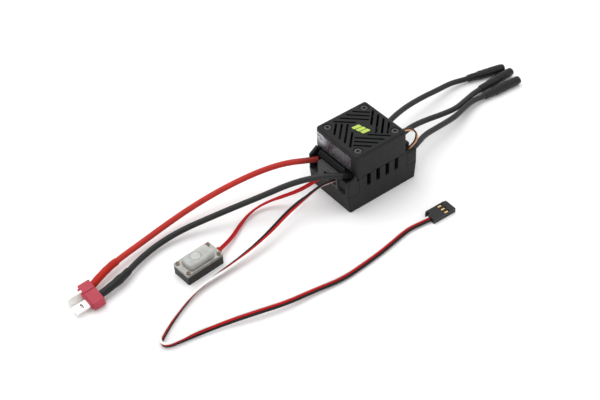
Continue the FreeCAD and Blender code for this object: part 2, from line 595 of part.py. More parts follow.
if not sink.Tip.Shape.Volume > before * 1.2:
    raise RuntimeError("fin row added nothing")
sk = new_sketch(sink, "pillars", offset=Lin(-0.1, sink_bottom=1, sink_plate=1))
for i, (a, b) in enumerate(corners):
    circle(sk, "p%d" % i, Lin(fan_centre=1, screw_half=a), Lin(screw_half=b), Lin(2.0))
pad(sink, "pillar", sk, Lin(0.1, fan_bottom=1, sink_bottom=-1, sink_plate=-1))
sk = new_sketch(sink, "pillar_holes", offset=Lin(fan_bottom=1))
for i, (a, b) in enumerate(corners):
    circle(sk, "h%d" % i, Lin(fan_centre=1, screw_half=a), Lin(screw_half=b), Lin(1.25))
pocket(sink, "pillar_hole_cut", sk, through=True)
keep(sink, "heatsink")


def board(node, z, thick):
    body = doc.addObject("PartDesign::Body", node)
    sk = new_sketch(body, node + "_outline", offset=z)
    rect(sk, "o", Lin(-19.6), Lin(19.6), Lin(-13.9), Lin(13.9))
    pad(body, node + "_plate", sk, thick)
    sk = new_sketch(body, node + "_holes", offset=z)
    for i, (a, b) in enumerate(corners):
        circle(sk, "h%d" % i, Lin(fan_centre=1, screw_half=a), Lin(screw_half=b), Lin(0.15, boss_radius=1))
    pocket(body, node + "_clear", sk, through=True, both=True)
    return keep(body, node)


board("control_board", Lin(control_z=1), Lin(board_thick=1))
board("power_board", Lin(power_z=1), Lin(power_thick=1))
pz = g("power_z") + g("power_thick")
cz = g("control_z") + g("board_thick")
fets = []
for i in range(6):
    for y in (-6.2, 6.2):
        x = -8.6 + i * 3.5
        f = box(x - 1.5, x + 1.5, y - 2.6, y + 2.6, pz, pz + 0.95)
        f = f.makeChamfer(0.2, [e for e in f.Edges if e.BoundBox.ZMin > pz + 0.9])
        fets.append(f)
feature("power_transistors", Part.makeCompound(fets))
pad_obj = part_box("thermal_pad", Lin(-11.0), Lin(-9.5), Lin(0.95, power_z=1, power_thick=1),
                   Lin(20.0), Lin(19.0), Lin(-0.95, sink_bottom=1, power_z=-1, power_thick=-1))
keep(pad_obj, "thermal_pad")
feature("board_pins", box(15.2, 17.6, -8.0, 8.0, cz, g("power_z")))
chips = []
for x, y, w, l, hgt in ((-4.0, 0.0, 3.5, 3.5, 0.9), (6.0, 4.0, 2.6, 2.0, 1.1), (6.5, -4.5, 3.2, 2.4, 1.2),
                        (-11.0, -2.0, 2.4, 4.0, 1.0), (12.0, 0.0, 1.4, 2.4, 1.6)):
    c = box(x - w, x + w, y - l, y + l, cz, cz + hgt)
    c = c.makeChamfer(0.18, [e for e in c.Edges if e.BoundBox.ZMin > cz + hgt - 0.01])
    chips.append(c)
feature("control_chips", Part.makeCompound(chips))

# ---------------------------------------------------------------- input capacitors and seals

cx_, cz_, cr = g("cap_x"), g("cap_z"), g("cap_radius")


def along_y(x, z, y0, y1, r):
    return Part.makeCylinder(r, y1 - y0, Vector(x, y0, z), Vector(0, 1, 0))


cans = []
for y0, y1 in ((-7.6, 1.6), (1.9, 11.1)):
    can = along_y(cx_, cz_, y0, y1, cr)
    can = can.makeFillet(0.4, [e for e in can.Edges if e.BoundBox.YLength < 1e-6 and e.BoundBox.XLength > 1])
    cans.append(can)
feature("input_capacitors", Part.makeCompound(cans))
sleeve = along_y(cx_, cz_, -8.3, 11.9, cr + 0.35)
sleeve = sleeve.makeFillet(0.6, [e for e in sleeve.Edges if e.BoundBox.YLength < 1e-6 and e.BoundBox.XLength > 1])
sleeve = sleeve.cut(along_y(cx_, cz_, -7.65, 11.15, cr + 0.02))
feature("capacitor_sleeve", sleeve)

# ---------------------------------------------------------------- leads

R = g("lead_radius")
tee = Placement(Vector(g("tee_x"), g("tee_y"), g("tee_z")), Rotation(Vector(0, 1, 0), g("tee_pitch")))


def tee_point(x, y, z):
    p = tee.multVec(Vector(x, y, z))
    return (p.x, p.y, p.z)


red_pts = [(-19.9, 11.6, 16.7), (-24.9, 14.1, 16.9), (-33.2, 21.0, 15.4), (-44.0, 26.4, 13.5), (-57.0, 29.9, 11.4),
           (-71.0, 32.1, 9.2), (-86.0, 33.0, 7.0), (-101.0, 32.3, 5.3), (-116.0, 30.2, 4.4), (-129.0, 27.6, 4.4),
           (-140.2, 24.6, 4.7), tee_point(3.15, 4.9, 0)]
black_pts = [(-18.4, -11.7, 20.2), (-24.0, -7.8, 21.2), (-32.3, -0.4, 19.4), (-42.0, 5.9, 16.6), (-55.0, 11.0, 13.2),
             (-69.0, 16.4, 9.9), (-83.0, 21.2, 6.8), (-96.0, 25.0, 4.4), (-109.0, 25.4, 3.2), (-122.0, 21.9, 3.2),
             (-133.0, 17.0, 3.9), (-141.8, 14.3, 4.2), tee_point(3.15, -2.7, 0)]
red, red_used = tube(red_pts, R, "battery_lead_red")
feature("battery_lead_red", red)
black, black_used = tube(black_pts, R, "battery_lead_black")
feature("battery_lead_black", black)


def lead_sleeve(points, used, start, r_out, r_in):
    """Annular sleeve on a lead's last two runs, from a point part-way along the first of them."""
    a, b, c = (Vector(*p) for p in points[-3:])
    p0 = a + (b - a) * start
    pts = [tuple(p0), tuple(b), tuple(c)]
    corner = [used[-1][0]]
    outer, _ = tube(pts, r_out, "sleeve", corner, quiet=True)
    inner, _ = tube(pts, r_in, "sleeve bore", corner, quiet=True)
    return outer.cut(inner)


feature("battery_sleeve_red", lead_sleeve(red_pts, red_used, 0.45, g("sleeve_radius"), g("sleeve_bore")))
feature("battery_sleeve_black", lead_sleeve(black_pts, black_used, 0.15, g("sleeve_radius"), g("sleeve_bore")))

bullets = {
    "a": ((98.8, 24.1, 2.6), (120.4, 18.6, 2.6)),
    "b": ((97.3, 12.65, 2.6), (121.3, 13.3, 2.6)),
    "c": ((94.9, 6.6, 2.6), (118.9, 4.94, 2.6)),
}


def on_axis(key, back):
    p, q = (Vector(*v) for v in bullets[key])
    d = q - p
    d.normalize()
    return tuple(p + d * back)


motor_pts = {
    "a": [(19.95, 11.6, 14.5), (26.0, 11.9, 14.8), (36.5, 16.0, 13.5), (49.0, 20.0, 11.1), (62.0, 22.6, 8.6),
          (74.0, 24.0, 6.5), (86.5, 26.0, 4.1), on_axis("a", -3.5), on_axis("a", 4.5)],
    "b": [(19.95, 0.0, 14.5), (25.5, 0.3, 14.8), (36.5, 3.5, 13.3), (49.0, 5.0, 10.3), (61.0, 5.8, 7.7),
          (72.0, 6.9, 5.7), (82.5, 10.2, 4.1), on_axis("b", -4.5), on_axis("b", 4.5)],
    "c": [(19.95, -11.6, 14.5), (25.0, -11.3, 14.7), (30.5, -8.9, 13.9), (38.0, -5.4, 12.3), (47.0, -3.3, 10.2), (56.5, -1.6, 8.3),
          (66.5, 0.4, 6.7), (76.5, 4.2, 5.2), (85.5, 6.7, 3.8), on_axis("c", -2.0), on_axis("c", 4.5)],
}
for key in "abc":
    solid, used = tube(motor_pts[key], R, "motor_lead_" + key)
    feature("motor_lead_" + key, solid)

# Bullet sockets: closed at the wire end by the solder cup, open bore at the far end.
for key in "abc":
    p, q = (Vector(*v) for v in bullets[key])
    d = q - p
    total = d.Length
    turn = Placement(p, Rotation(Vector(1, 0, 0), d))
    br, bore, depth, sr = g("bullet_radius"), g("bullet_bore"), g("bullet_depth"), g("shrink_radius")
    end = total - 0.4
    prof = [(4.5, 0), (4.5, 1.6), (7.0, 2.0), (8.2, br), (end, br), (end, bore), (end - depth, bore), (end - depth - 0.8, 0)]
    face = Part.Face(Part.makePolygon([Vector(x, 0, r) for x, r in prof + [prof[0]]]))
    feature("bullet_socket_" + key, face.revolve(Vector(0, 0, 0), Vector(1, 0, 0), 360), turn)
    prof = [(-1.0, R + 0.04), (-1.0, 2.0), (5.2, 2.05), (7.4, sr), (total, sr), (total, br + 0.03), (8.1, br + 0.03),
            (6.9, 2.03), (4.6, R + 0.09), (4.4, R + 0.04)]
    face = Part.Face(Part.makePolygon([Vector(x, 0, r) for x, r in prof + [prof[0]]]))
    feature("bullet_sleeve_" + key, face.revolve(Vector(0, 0, 0), Vector(1, 0, 0), 360), turn)

# ---------------------------------------------------------------- seals

seal = box(-19.95, -16.45, -14.65, 14.65, pz + 0.05, 17.9)
seal = seal.fuse(box(-19.95, -17.35, -14.65, -8.8, 17.8, 21.9))
seal = seal.cut(along_y(cx_, cz_, -8.6, 14.7, cr + 0.37))
# It also fills the near notch and closes round the black lead where that passes over the wall.
seal = seal.fuse(box(-22.45, -19.9, -13.85, -7.65, 13.9, 19.5))
collar = Part.makeCylinder(2.15, 2.5, Vector(-19.0, -11.28, 20.3), Vector(-5.6, 3.9, 1.0))
collar = collar.makeFillet(0.6, [collar.Edges[k] for k in range(len(collar.Edges))
                                 if collar.Edges[k].Closed and collar.Edges[k].BoundBox.Center.x < -20.2])
seal = seal.fuse(collar.cut(box(-24, -19.9, -7.63, -4, 17, 19.23))).removeSplitter()
feature("input_seal", seal)
seal = box(15.35, 19.95, -14.65, 14.65, pz + 0.05, 18.0)
feature("output_seal", seal)

fan_pts = [(13.62, -11.3, 30.9), (17.7, -12.8, 32.3), (20.9, -14.5, 31.1), (22.0, -15.5, 27.7), (21.7, -15.2, 23.9),
           (19.8, -14.2, 20.8), (18.4, -13.3, 18.0)]
solid, used = tube(fan_pts, 0.8, "fan_lead")
feature("fan_lead", solid)

# ---------------------------------------------------------------- battery plug

tl, tw, th_ = g("tee_length"), g("tee_width"), g("tee_height")
shell = box(-tl / 2, tl / 2, -tw / 2, tw / 2, -th_ / 2, th_ / 2)
shell = shell.makeFillet(0.5, [e for e in shell.Edges])
shell = shell.cut(box(-tl / 2, tl / 2, 0.95, 1.5, th_ / 2 - 0.35, th_))
nose = box(-tl / 2 - 0.9, -tl / 2 + 0.6, -6.6, 6.4, -1.7, 1.7)
nose = nose.makeFillet(0.35, [e for e in nose.Edges])
shell = shell.fuse(nose).removeSplitter()
bl, bw, bt = g("blade_length"), g("blade_width"), g("blade_thick")
flat = box(-tl / 2 - bl, 0.5, -3.3 - bw / 2, -3.3 + bw / 2, -bt / 2, bt / 2)
upright = box(-tl / 2 - bl, -tl / 2, 3.3 - bt / 2, 3.3 + bt / 2, -bw / 2, bw / 2)
tips = [e for e in flat.Edges if abs(e.BoundBox.XMax + tl / 2 + bl) < 1e-6 and e.BoundBox.YLength > 3]
flat = flat.makeFillet(0.4, tips)
tips = [e for e in upright.Edges if abs(e.BoundBox.XMax + tl / 2 + bl) < 1e-6 and e.BoundBox.ZLength > 3]
upright = upright.makeFillet(0.4, tips)
upright = upright.fuse(box(-tl / 2 - 0.5, 0.5, 3.3 - bt / 2, 3.3 + bt / 2, -1.5, 1.5)).removeSplitter()
dimple = box(-tl / 2 - bl + 3.9, -tl / 2 - bl + 4.6, -4.7, -1.9, -2, 2)
flat = flat.cut(dimple.makeFillet(0.3, [e for e in dimple.Edges if is_vertical(e)]))
feature("battery_plug_body", shell.cut(flat).cut(upright), tee)
feature("plug_blade_flat", flat, tee)
feature("plug_blade_upright", upright, tee)

# ---------------------------------------------------------------- power switch

sw = Placement(Vector(g("switch_x"), g("switch_y"), 0), Rotation(Vector(0, 0, 1), g("switch_turn")))
sl, swd, shh, sft = g("switch_length") / 2, g("switch_width") / 2, g("switch_height"), g("frame_thick")
case = box(-sl, sl, -swd, swd, 0, shh)
case = case.makeFillet(0.6, [e for e in case.Edges if is_vertical(e)])
case = case.cut(box(-sl + 2.6, sl - 2.6, -swd + 1.0, swd - 1.0, 1.0, shh + 1))
case = case.cut(box(-sl + 1.0, sl - 1.0, -swd + 2.8, swd - 2.8, 1.0, shh + 1))
case = case.cut(Part.makeCylinder(1.3, 4, Vector(sl - 2.0, 0, 3.3), Vector(1, 0, 0)))
holes = [(a * (sl - 1.5), b * (swd - 1.5)) for a, b in corners]
for x, y in holes:
    case = case.cut(cyl(x, y, 2.0, shh + 1, 0.6))
feature("switch_case", case, sw)
plate = box(-sl, sl, -swd, swd, shh, shh + sft)
plate = plate.makeFillet(0.6, [e for e in plate.Edges if is_vertical(e)])
window = box(-7.6, 7.6, -4.25, 4.25, shh - 1, shh + 2)
window = window.makeFillet(2.0, [e for e in window.Edges if is_vertical(e)])
plate = plate.cut(window)
for x, y in holes:
    plate = plate.cut(cyl(x, y, shh - 1, shh + 2, 0.75))
feature("switch_frame", plate, sw)
sscrews = []
for x, y in holes:
    s = cyl(x, y, shh + sft, shh + sft + 0.45, 1.05).fuse(cyl(x, y, 2.4, shh + sft + 0.05, 0.58))
    s = s.cut(box(x - 0.75, x + 0.75, y - 0.14, y + 0.14, shh + sft + 0.22, shh + sft + 1))
    s = s.cut(box(x - 0.14, x + 0.14, y - 0.75, y + 0.75, shh + sft + 0.22, shh + sft + 1))
    sscrews.append(s)
feature("switch_screws", Part.makeCompound(sscrews), sw)
# Rubber boot: a flange under the frame and a rounded dome through its window.
pr, px_, trav = g("pad_radius"), -1.2, g("press_travel")
dome = box(-7.45, 7.45, -4.1, 4.1, shh - 0.7, shh + sft + 2.9)
dome = dome.makeFillet(1.9, [e for e in dome.Edges if is_vertical(e)])
dome = dome.makeFillet(1.2, [e for e in dome.Edges if e.BoundBox.ZMin > shh + sft + 2.85])
flange = box(-8.0, 8.0, -4.6, 4.6, shh - 0.75, shh - 0.02)
boot = dome.fuse(flange)
hollow = box(-6.4, 6.4, -3.0, 3.0, shh - 1.5, shh + sft + 1.9)
hollow = hollow.makeFillet(1.0, [e for e in hollow.Edges if is_vertical(e)])
boot = boot.cut(hollow).cut(cyl(px_, 0, shh, shh + 8, pr + 0.1)).removeSplitter()
feature("switch_boot", boot, sw)
button = cyl(px_, 0, shh + sft + 1.9, shh + sft + 3.15, pr)
button = button.makeFillet(0.5, [e for e in button.Edges if e.BoundBox.ZMin > shh + sft + 3.1])
button = button.fuse(cyl(px_, 0, 4.2, shh + sft + 2.0, 0.97)).removeSplitter()
feature("switch_button", button, sw)
core = box(-5.3, 3.3, -2.4, 2.4, 1.0, 5.2)
core = core.cut(cyl(px_, 0, 1.9, 6.0, 1.02))
feature("switch_core", core, sw)
helix = Part.makeHelix(0.56, 2.0, 0.8)
section = Part.Wire([Part.makeCircle(0.13, Vector(0.8, 0, 0), Vector(0, 1, 0))])
coil = Part.Wire(helix.Edges).makePipeShell([section], True, True)
coil.translate(Vector(px_, 0, 2.05))
feature("button_spring", coil, sw)
grom = Part.makeCone(2.0, 1.5, 2.4, Vector(sl, 0, 3.3), Vector(1, 0, 0))
grom = grom.fuse(Part.makeCylinder(1.25, 1.1, Vector(sl - 1.05, 0, 3.3), Vector(1, 0, 0)))
feature("switch_grommet", grom.removeSplitter(), sw)

exit_ = sw.multVec(Vector(sl + 2.4, 0, 3.3))
switch_pts = [(-19.9, 0.9, 14.4), (-24.2, 1.9, 14.3), (-29.5, 3.5, 12.1), (-36.7, 5.1, 9.8), (-43.7, 9.7, 6.6),
              (-50.0, 14.0, 3.8), (-57.5, 15.6, 2.2), (-65.0, 13.9, 1.7), (-72.5, 10.0, 1.7), (-80.0, 5.4, 2.3),
              tuple(exit_)]
solid, used = tube(switch_pts, 0.8, "switch_lead")
feature("switch_lead", solid)

# ---------------------------------------------------------------- receiver lead

sv = Placement(Vector(g("servo_x"), g("servo_y"), 0), Rotation(Vector(0, 0, 1), g("servo_turn")))
ln, wd, ht = g("servo_length") / 2, g("servo_width") / 2, g("servo_height")
plug = box(-ln, ln, -wd, wd, 0, ht)
plug = plug.cut(box(-ln - 1, -ln + 1.5, wd - 2.5, wd - 1.3, -1, ht + 1))
bevel = Part.Face(Part.makePolygon([Vector(-ln - 1, wd + 1, 0), Vector(-ln - 1, wd - 1.0, 0), Vector(-ln, wd - 0.7, 0),
                                    Vector(-ln + 0.9, wd, 0), Vector(-ln + 1.5, wd + 1, 0),
                                    Vector(-ln - 1, wd + 1, 0)])).extrude(Vector(0, 0, ht))
plug = plug.cut(bevel)
plug = plug.cut(box(ln - 1.0, ln + 1, wd - 0.35, wd + 1, -1, ht + 1))
contacts = []
for i in (-1, 0, 1):
    y = 2.54 * i
    plug = plug.cut(box(0.3, 3.6, y - 0.8, y + 0.8, ht - 0.55, ht + 1))
    plug = plug.cut(box(-1.0, ln + 1, y - 0.55, y + 0.55, 0.75, 1.85))
    c = box(-0.9, ln - 0.6, y - 0.52, y + 0.52, 0.78, 1.82).cut(box(1.6, ln, y - 0.36, y + 0.36, 0.96, 1.64))
    c = c.fuse(box(0.9, 3.0, y - 0.5, y + 0.5, 1.8, 2.15)).removeSplitter()
    contacts.append(c)
    plug = plug.cut(box(0.9, 3.0, y - 0.5, y + 0.5, 1.8, 2.15))
feature("receiver_plug", plug.removeSplitter(), sv)
feature("receiver_contacts", Part.makeCompound(contacts), sv)
plug_in = sv.multVec(Vector(-ln, -0.4, 1.3))
receiver_pts = [(-19.9, -4.4, 14.1), (-24.2, -3.6, 14.3), (-29.8, -2.0, 13.4), (-40.2, -2.6, 11.0), (-51.2, -3.6, 8.5),
                (-64.0, -6.7, 6.2), (-77.0, -8.8, 4.4), (-90.0, -9.8, 3.0), (-101.2, -10.5, 2.4),
                (-111.4, -11.7, 2.1), (-121.4, -15.6, 2.0), (-130.9, -20.3, 2.0), (-137.4, -24.3, 2.0),
                (-140.9, -26.7, 2.0), (-141.6, -29.5, 2.0), (-139.5, -31.6, 2.0), (-134.4, -32.5, 2.0),
                (-125.2, -33.6, 2.3), (-111.0, -37.2, 3.2), (-97.0, -41.9, 4.1), (-83.0, -45.4, 3.6),
                (-68.0, -46.4, 2.1), (-54.0, -48.8, 1.4), (-40.0, -48.0, 1.3), (-27.0, -46.8, 1.3),
                (-16.0, -45.1, 1.3), (-8.0, -44.0, 1.3), (-1.0, -44.7, 1.3), tuple(plug_in)]
solid, used = tube(receiver_pts, 1.175, "receiver_lead")
feature("receiver_lead", solid)

# ---------------------------------------------------------------- checks and export

doc.recompute()
for obj in doc.Objects:
    if "Invalid" in obj.State or "Error" in obj.State:
        raise RuntimeError("%s failed: %s" % (obj.Name, obj.State))
seen = set()
for obj, node in KEEP:
    shp = obj.Shape
    if shp.isNull() or not shp.isValid() or shp.Volume <= 0 or node in seen:
        raise RuntimeError("bad shape: %s null=%s valid=%s" % (node, shp.isNull(), shp.isValid()))
    seen.add(node)
os.makedirs("parts", exist_ok=True)
for obj, node in KEEP:
    obj.Shape.exportStep("parts/%s.step" % node)
print(len(KEEP), "nodes written")
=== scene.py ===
import math

import bmesh
import bpy
from mathutils import Matrix, Vector


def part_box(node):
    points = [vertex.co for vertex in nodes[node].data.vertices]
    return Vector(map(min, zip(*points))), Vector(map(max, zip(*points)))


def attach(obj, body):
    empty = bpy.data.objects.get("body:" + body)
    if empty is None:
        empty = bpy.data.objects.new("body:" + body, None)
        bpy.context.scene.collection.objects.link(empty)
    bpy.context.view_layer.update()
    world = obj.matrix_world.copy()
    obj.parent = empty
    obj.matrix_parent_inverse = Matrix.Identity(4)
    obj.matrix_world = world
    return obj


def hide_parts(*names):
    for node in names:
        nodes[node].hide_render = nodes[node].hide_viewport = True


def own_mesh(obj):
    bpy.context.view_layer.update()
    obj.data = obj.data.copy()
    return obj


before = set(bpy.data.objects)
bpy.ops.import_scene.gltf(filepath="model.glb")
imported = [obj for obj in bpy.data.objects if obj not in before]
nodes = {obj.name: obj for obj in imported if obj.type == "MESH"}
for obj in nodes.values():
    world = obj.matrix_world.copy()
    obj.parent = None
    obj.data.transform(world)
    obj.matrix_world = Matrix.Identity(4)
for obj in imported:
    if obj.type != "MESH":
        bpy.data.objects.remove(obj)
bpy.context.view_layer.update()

CONTROLLER, ROTOR, BUTTON = "controller", "fan_rotor", "switch_button"


# ------------------------------------------------------------------ camera

right = Vector((0.79399647, -0.60639706, -0.04303732))
up = Vector((0.44116607, 0.52604583, 0.72708203))
back = Vector((-0.4182608, -0.59628718, 0.68520034))
cam_data = bpy.data.cameras.new("camera")
cam_data.sensor_width = 36.0
cam_data.lens = 65.52
cam_data.clip_start = 0.01
cam_data.clip_end = 20.0
cam = bpy.data.objects.new("camera", cam_data)
cam.matrix_world = Matrix((
    (right.x, up.x, back.x, -0.269356),
    (right.y, up.y, back.y, -0.325832),
    (right.z, up.z, back.z, 0.383461),
    (0.0, 0.0, 0.0, 1.0)))
bpy.context.scene.collection.objects.link(cam)
bpy.context.scene.camera = cam


# ------------------------------------------------------------------ material helpers

class Mat:
    """A small wrapper that makes procedural materials shorter to write."""

    def __init__(self, name, **sockets):
        self.m = bpy.data.materials.new(name)
        self.m.use_nodes = True
        self.nt = self.m.node_tree
        self.nt.nodes.clear()
        self.out = self.nt.nodes.new("ShaderNodeOutputMaterial")
        self.b = self.nt.nodes.new("ShaderNodeBsdfPrincipled")
        self.nt.links.new(self.b.outputs[0], self.out.inputs[0])
        self.coord = None
        for key, value in sockets.items():
            self.set(key.replace("_", " "), value)

    def set(self, socket, value):
        if isinstance(value, (tuple, list)) and len(value) == 3 and socket in ("Base Color",):
            value = (*value, 1.0)
        self.b.inputs[socket].default_value = value

    def node(self, kind, **props):
        n = self.nt.nodes.new(kind)
        for k, v in props.items():
            setattr(n, k, v)
        return n

    def link(self, a, b):
        self.nt.links.new(a, b)

    def where(self, scale=(1, 1, 1), rotation=(0, 0, 0), source="Object"):
        if self.coord is None:
            self.coord = self.node("ShaderNodeTexCoord")
        if scale == (1, 1, 1) and rotation == (0, 0, 0):
            return self.coord.outputs[source]
        mp = self.node("ShaderNodeMapping")
        mp.inputs["Scale"].default_value = scale
        mp.inputs["Rotation"].default_value = rotation
        self.link(self.coord.outputs[source], mp.inputs["Vector"])
        return mp.outputs["Vector"]

    def noise(self, scale, detail=3.0, rough=0.55, stretch=(1, 1, 1), rotation=(0, 0, 0), source="Object"):
        n = self.node("ShaderNodeTexNoise")
        n.inputs["Scale"].default_value = scale
        n.inputs["Detail"].default_value = detail
        n.inputs["Roughness"].default_value = rough
        self.link(self.where(stretch, rotation, source), n.inputs["Vector"])
        return n.outputs["Fac"]

    def cells(self, scale, feature="F1"):
        n = self.node("ShaderNodeTexVoronoi", feature=feature)
        n.inputs["Scale"].default_value = scale
        self.link(self.where(), n.inputs["Vector"])
        return n.outputs["Distance"]

    def ramp(self, fac, stops):
        r = self.node("ShaderNodeValToRGB")
        els = r.color_ramp.elements
        while len(els) < len(stops):
            els.new(0.5)
        for el, (pos, col) in zip(els, stops):
            el.position = pos
            el.color = (*col, 1.0) if isinstance(col, (tuple, list)) else (col, col, col, 1.0)
        self.link(fac, r.inputs["Fac"])
        return r.outputs["Color"]

    def mix(self, fac, a, b):
        n = self.node("ShaderNodeMix", data_type="RGBA")
        if isinstance(fac, float):
            n.inputs["Factor"].default_value = fac
        else:
            self.link(fac, n.inputs["Factor"])
        for sock, v in ((n.inputs["A"], a), (n.inputs["B"], b)):
            if isinstance(v, (tuple, list)):
                sock.default_value = (*v, 1.0)
            else:
                self.link(v, sock)
        return n.outputs["Result"]

    def rough(self, fac, lo, hi, p0=0.3, p1=0.7):
        self.link(self.ramp(fac, [(p0, lo), (p1, hi)]), self.b.inputs["Roughness"])

    def colour(self, out):
        self.link(out, self.b.inputs["Base Color"])

    def bumps(self, *heights):
        """Each height is (socket, strength, distance in metres)."""
        normal = None
        for h, strength, dist in heights:
            bp = self.node("ShaderNodeBump")
            bp.inputs["Strength"].default_value = strength
            bp.inputs["Distance"].default_value = dist
            self.link(h, bp.inputs["Height"])
            if normal is not None:
                self.link(normal, bp.inputs["Normal"])
            normal = bp.outputs["Normal"]
        self.link(normal, self.b.inputs["Normal"])


def scaled(col, k):
    return tuple(min(1.0, c * k) for c in col)


def moulded(name, col, rough=0.5, grain=9000, depth=0.00002, vary=0.12, spec=0.5, scuff=0.0):
    """Spark-textured moulding: fine grain, slow colour drift, and dust in places."""
    m = Mat(name, Specular_IOR_Level=spec)
    slow = m.noise(180, 4, 0.6)
    fine = m.noise(grain, 2, 0.6)
    c = m.ramp(slow, [(0.3, scaled(col, 1 - vary)), (0.7, scaled(col, 1 + vary))])
    if scuff:
        marks = m.noise(2600, 6, 0.75, stretch=(1, 0.25, 1))
        c = m.mix(m.ramp(marks, [(0.66, 0.0), (0.74, scuff)]), c, scaled(col, 3.5))
    m.colour(c)
    m.rough(m.noise(700, 3), rough - 0.06, rough + 0.08)
    m.bumps((fine, 0.35, depth), (m.noise(grain / 4, 3), 0.2, depth))
    return m.m


def silicone(name, col, rough=0.46, sheen=0.15, dust=0.10, spec=0.45, painted_shade=0.0):
    """Soft lead jacket with specks of dust; darkened near the housing by painted shade."""
    m = Mat(name, Specular_IOR_Level=spec, Sheen_Weight=sheen, Sheen_Roughness=0.4)
    slow = m.noise(120, 3, 0.6)
    c = m.ramp(slow, [(0.3, scaled(col, 0.86)), (0.7, scaled(col, 1.12))])
    specks = m.cells(2300)
    c = m.mix(m.ramp(specks, [(0.05, dust), (0.12, 0.0)]), c, tuple(0.5 * v + 0.35 for v in col))
    # painted shade: darkens the lead towards the housing, which shades it
    if painted_shade:
        split = m.node("ShaderNodeSeparateXYZ")
        m.link(m.where(), split.inputs[0])
        size = m.node("ShaderNodeMath", operation="ABSOLUTE")
        m.link(split.outputs["X"], size.inputs[0])
        n = m.node("ShaderNodeMapRange", interpolation_type="SMOOTHSTEP")
        n.inputs["From Min"].default_value = 0.0225
        n.inputs["From Max"].default_value = 0.0330
        n.inputs["To Min"].default_value = painted_shade
        n.inputs["To Max"].default_value = 0.0
        m.link(size.outputs[0], n.inputs["Value"])
        c = m.mix(n.outputs["Result"], c, (0.002, 0.002, 0.002))
    m.colour(c)
    m.rough(m.noise(900, 4), rough - 0.07, rough + 0.09)
    m.bumps((m.noise(5200, 3), 0.25, 0.00003), (m.noise(420, 2), 0.25, 0.00008))
    return m.m


def shrink(name, col, rough=0.36, wave=0.00014, spec=0.5):
    m = Mat(name, Specular_IOR_Level=spec)
    slow = m.noise(150, 3, 0.6)
    m.colour(m.ramp(slow, [(0.3, scaled(col, 0.85)), (0.7, scaled(col, 1.15))]))
    m.rough(m.noise(500, 3), rough - 0.06, rough + 0.08)
    m.bumps((m.noise(330, 3, 0.5), 0.5, wave), (m.noise(4200, 2), 0.15, 0.00002))
    return m.m


def metal(name, col, rough=0.3, stretch=(1, 1, 1), scale=2500, vary=0.1, line=0.00001, aniso=0.0):
    m = Mat(name, Metallic=1.0, Anisotropic=aniso)
    lines = m.noise(scale, 3, 0.6, stretch=stretch)
    m.colour(m.ramp(m.noise(300, 4, 0.65), [(0.3, scaled(col, 1 - vary)), (0.72, scaled(col, 1 + vary))]))
    m.rough(lines, rough - 0.07, rough + 0.10, 0.25, 0.75)
    m.bumps((lines, 0.3, line))
    return m.m


def plated(name, col, rough=0.36, slot=None):
    """Bright satin plating, with painted shade in and round the slot when one is given."""
    m = Mat(name, Metallic=0.45, Specular_IOR_Level=0.5)
    lines = m.noise(3600, 3, 0.6, stretch=(0.06, 1, 1))
    c = m.ramp(m.noise(300, 4, 0.65), [(0.3, scaled(col, 0.96)), (0.72, scaled(col, 1.03))])
    if slot:
        mp = m.node("ShaderNodeMapping")
        mp.inputs["Location"].default_value = (-slot[0] / 0.00075, -slot[1] / 0.0019, 0.0)
        mp.inputs["Scale"].default_value = (1 / 0.00075, 1 / 0.0019, 0.0)
        m.link(m.where(), mp.inputs["Vector"])
        far = m.node("ShaderNodeVectorMath", operation="LENGTH")
        m.link(mp.outputs["Vector"], far.inputs[0])
        # painted shade: dark in and round the slot
        c = m.mix(m.ramp(far.outputs["Value"], [(0.72, 1.0), (0.98, 0.0)]), c, (0.05, 0.05, 0.045))
    m.colour(c)
    m.rough(lines, rough - 0.07, rough + 0.10, 0.25, 0.75)
    m.bumps((lines, 0.3, 0.00001))
    return m.m


def gloss(name, col, rough=0.22, coat=0.3, vary=0.1, sss=0.0, grain=3000, depth=0.00001, spec=0.5):
    m = Mat(name, Specular_IOR_Level=spec, Coat_Weight=coat, Coat_Roughness=0.12, Subsurface_Weight=sss, Subsurface_Scale=0.0008)
    m.colour(m.ramp(m.noise(260, 4, 0.6), [(0.3, scaled(col, 1 - vary)), (0.7, scaled(col, 1 + vary))]))
    m.rough(m.noise(800, 4), rough - 0.06, rough + 0.08)
    m.bumps((m.noise(grain, 3), 0.25, depth), (m.noise(350, 2), 0.2, depth * 4))
    return m.m


def end_wall(name, lit_face, sides, y0, y1):
    """Moulding with painted light: paler on the face between the leads than on the returns."""
    m = Mat(name, Specular_IOR_Level=0.20)
    split = m.node("ShaderNodeSeparateXYZ")
    m.link(m.where(), split.inputs[0])
    size = m.node("ShaderNodeMath", operation="ABSOLUTE")
    m.link(split.outputs["Y"], size.inputs[0])
    n = m.node("ShaderNodeMapRange", interpolation_type="SMOOTHSTEP")
    n.inputs["From Min"].default_value = y0
    n.inputs["From Max"].default_value = y1
    m.link(size.outputs[0], n.inputs["Value"])
    drift = m.ramp(m.noise(180, 4, 0.6), [(0.3, scaled(lit_face, 0.88)), (0.7, scaled(lit_face, 1.12))])
    # painted light: the face between the leads is paler than the returns
    m.colour(m.mix(n.outputs["Result"], drift, sides))
    m.rough(m.noise(700, 3), 0.46, 0.60)
    m.bumps((m.noise(9000, 2, 0.6), 0.35, 0.00002), (m.noise(2250, 3), 0.2, 0.00002))
    return m.m


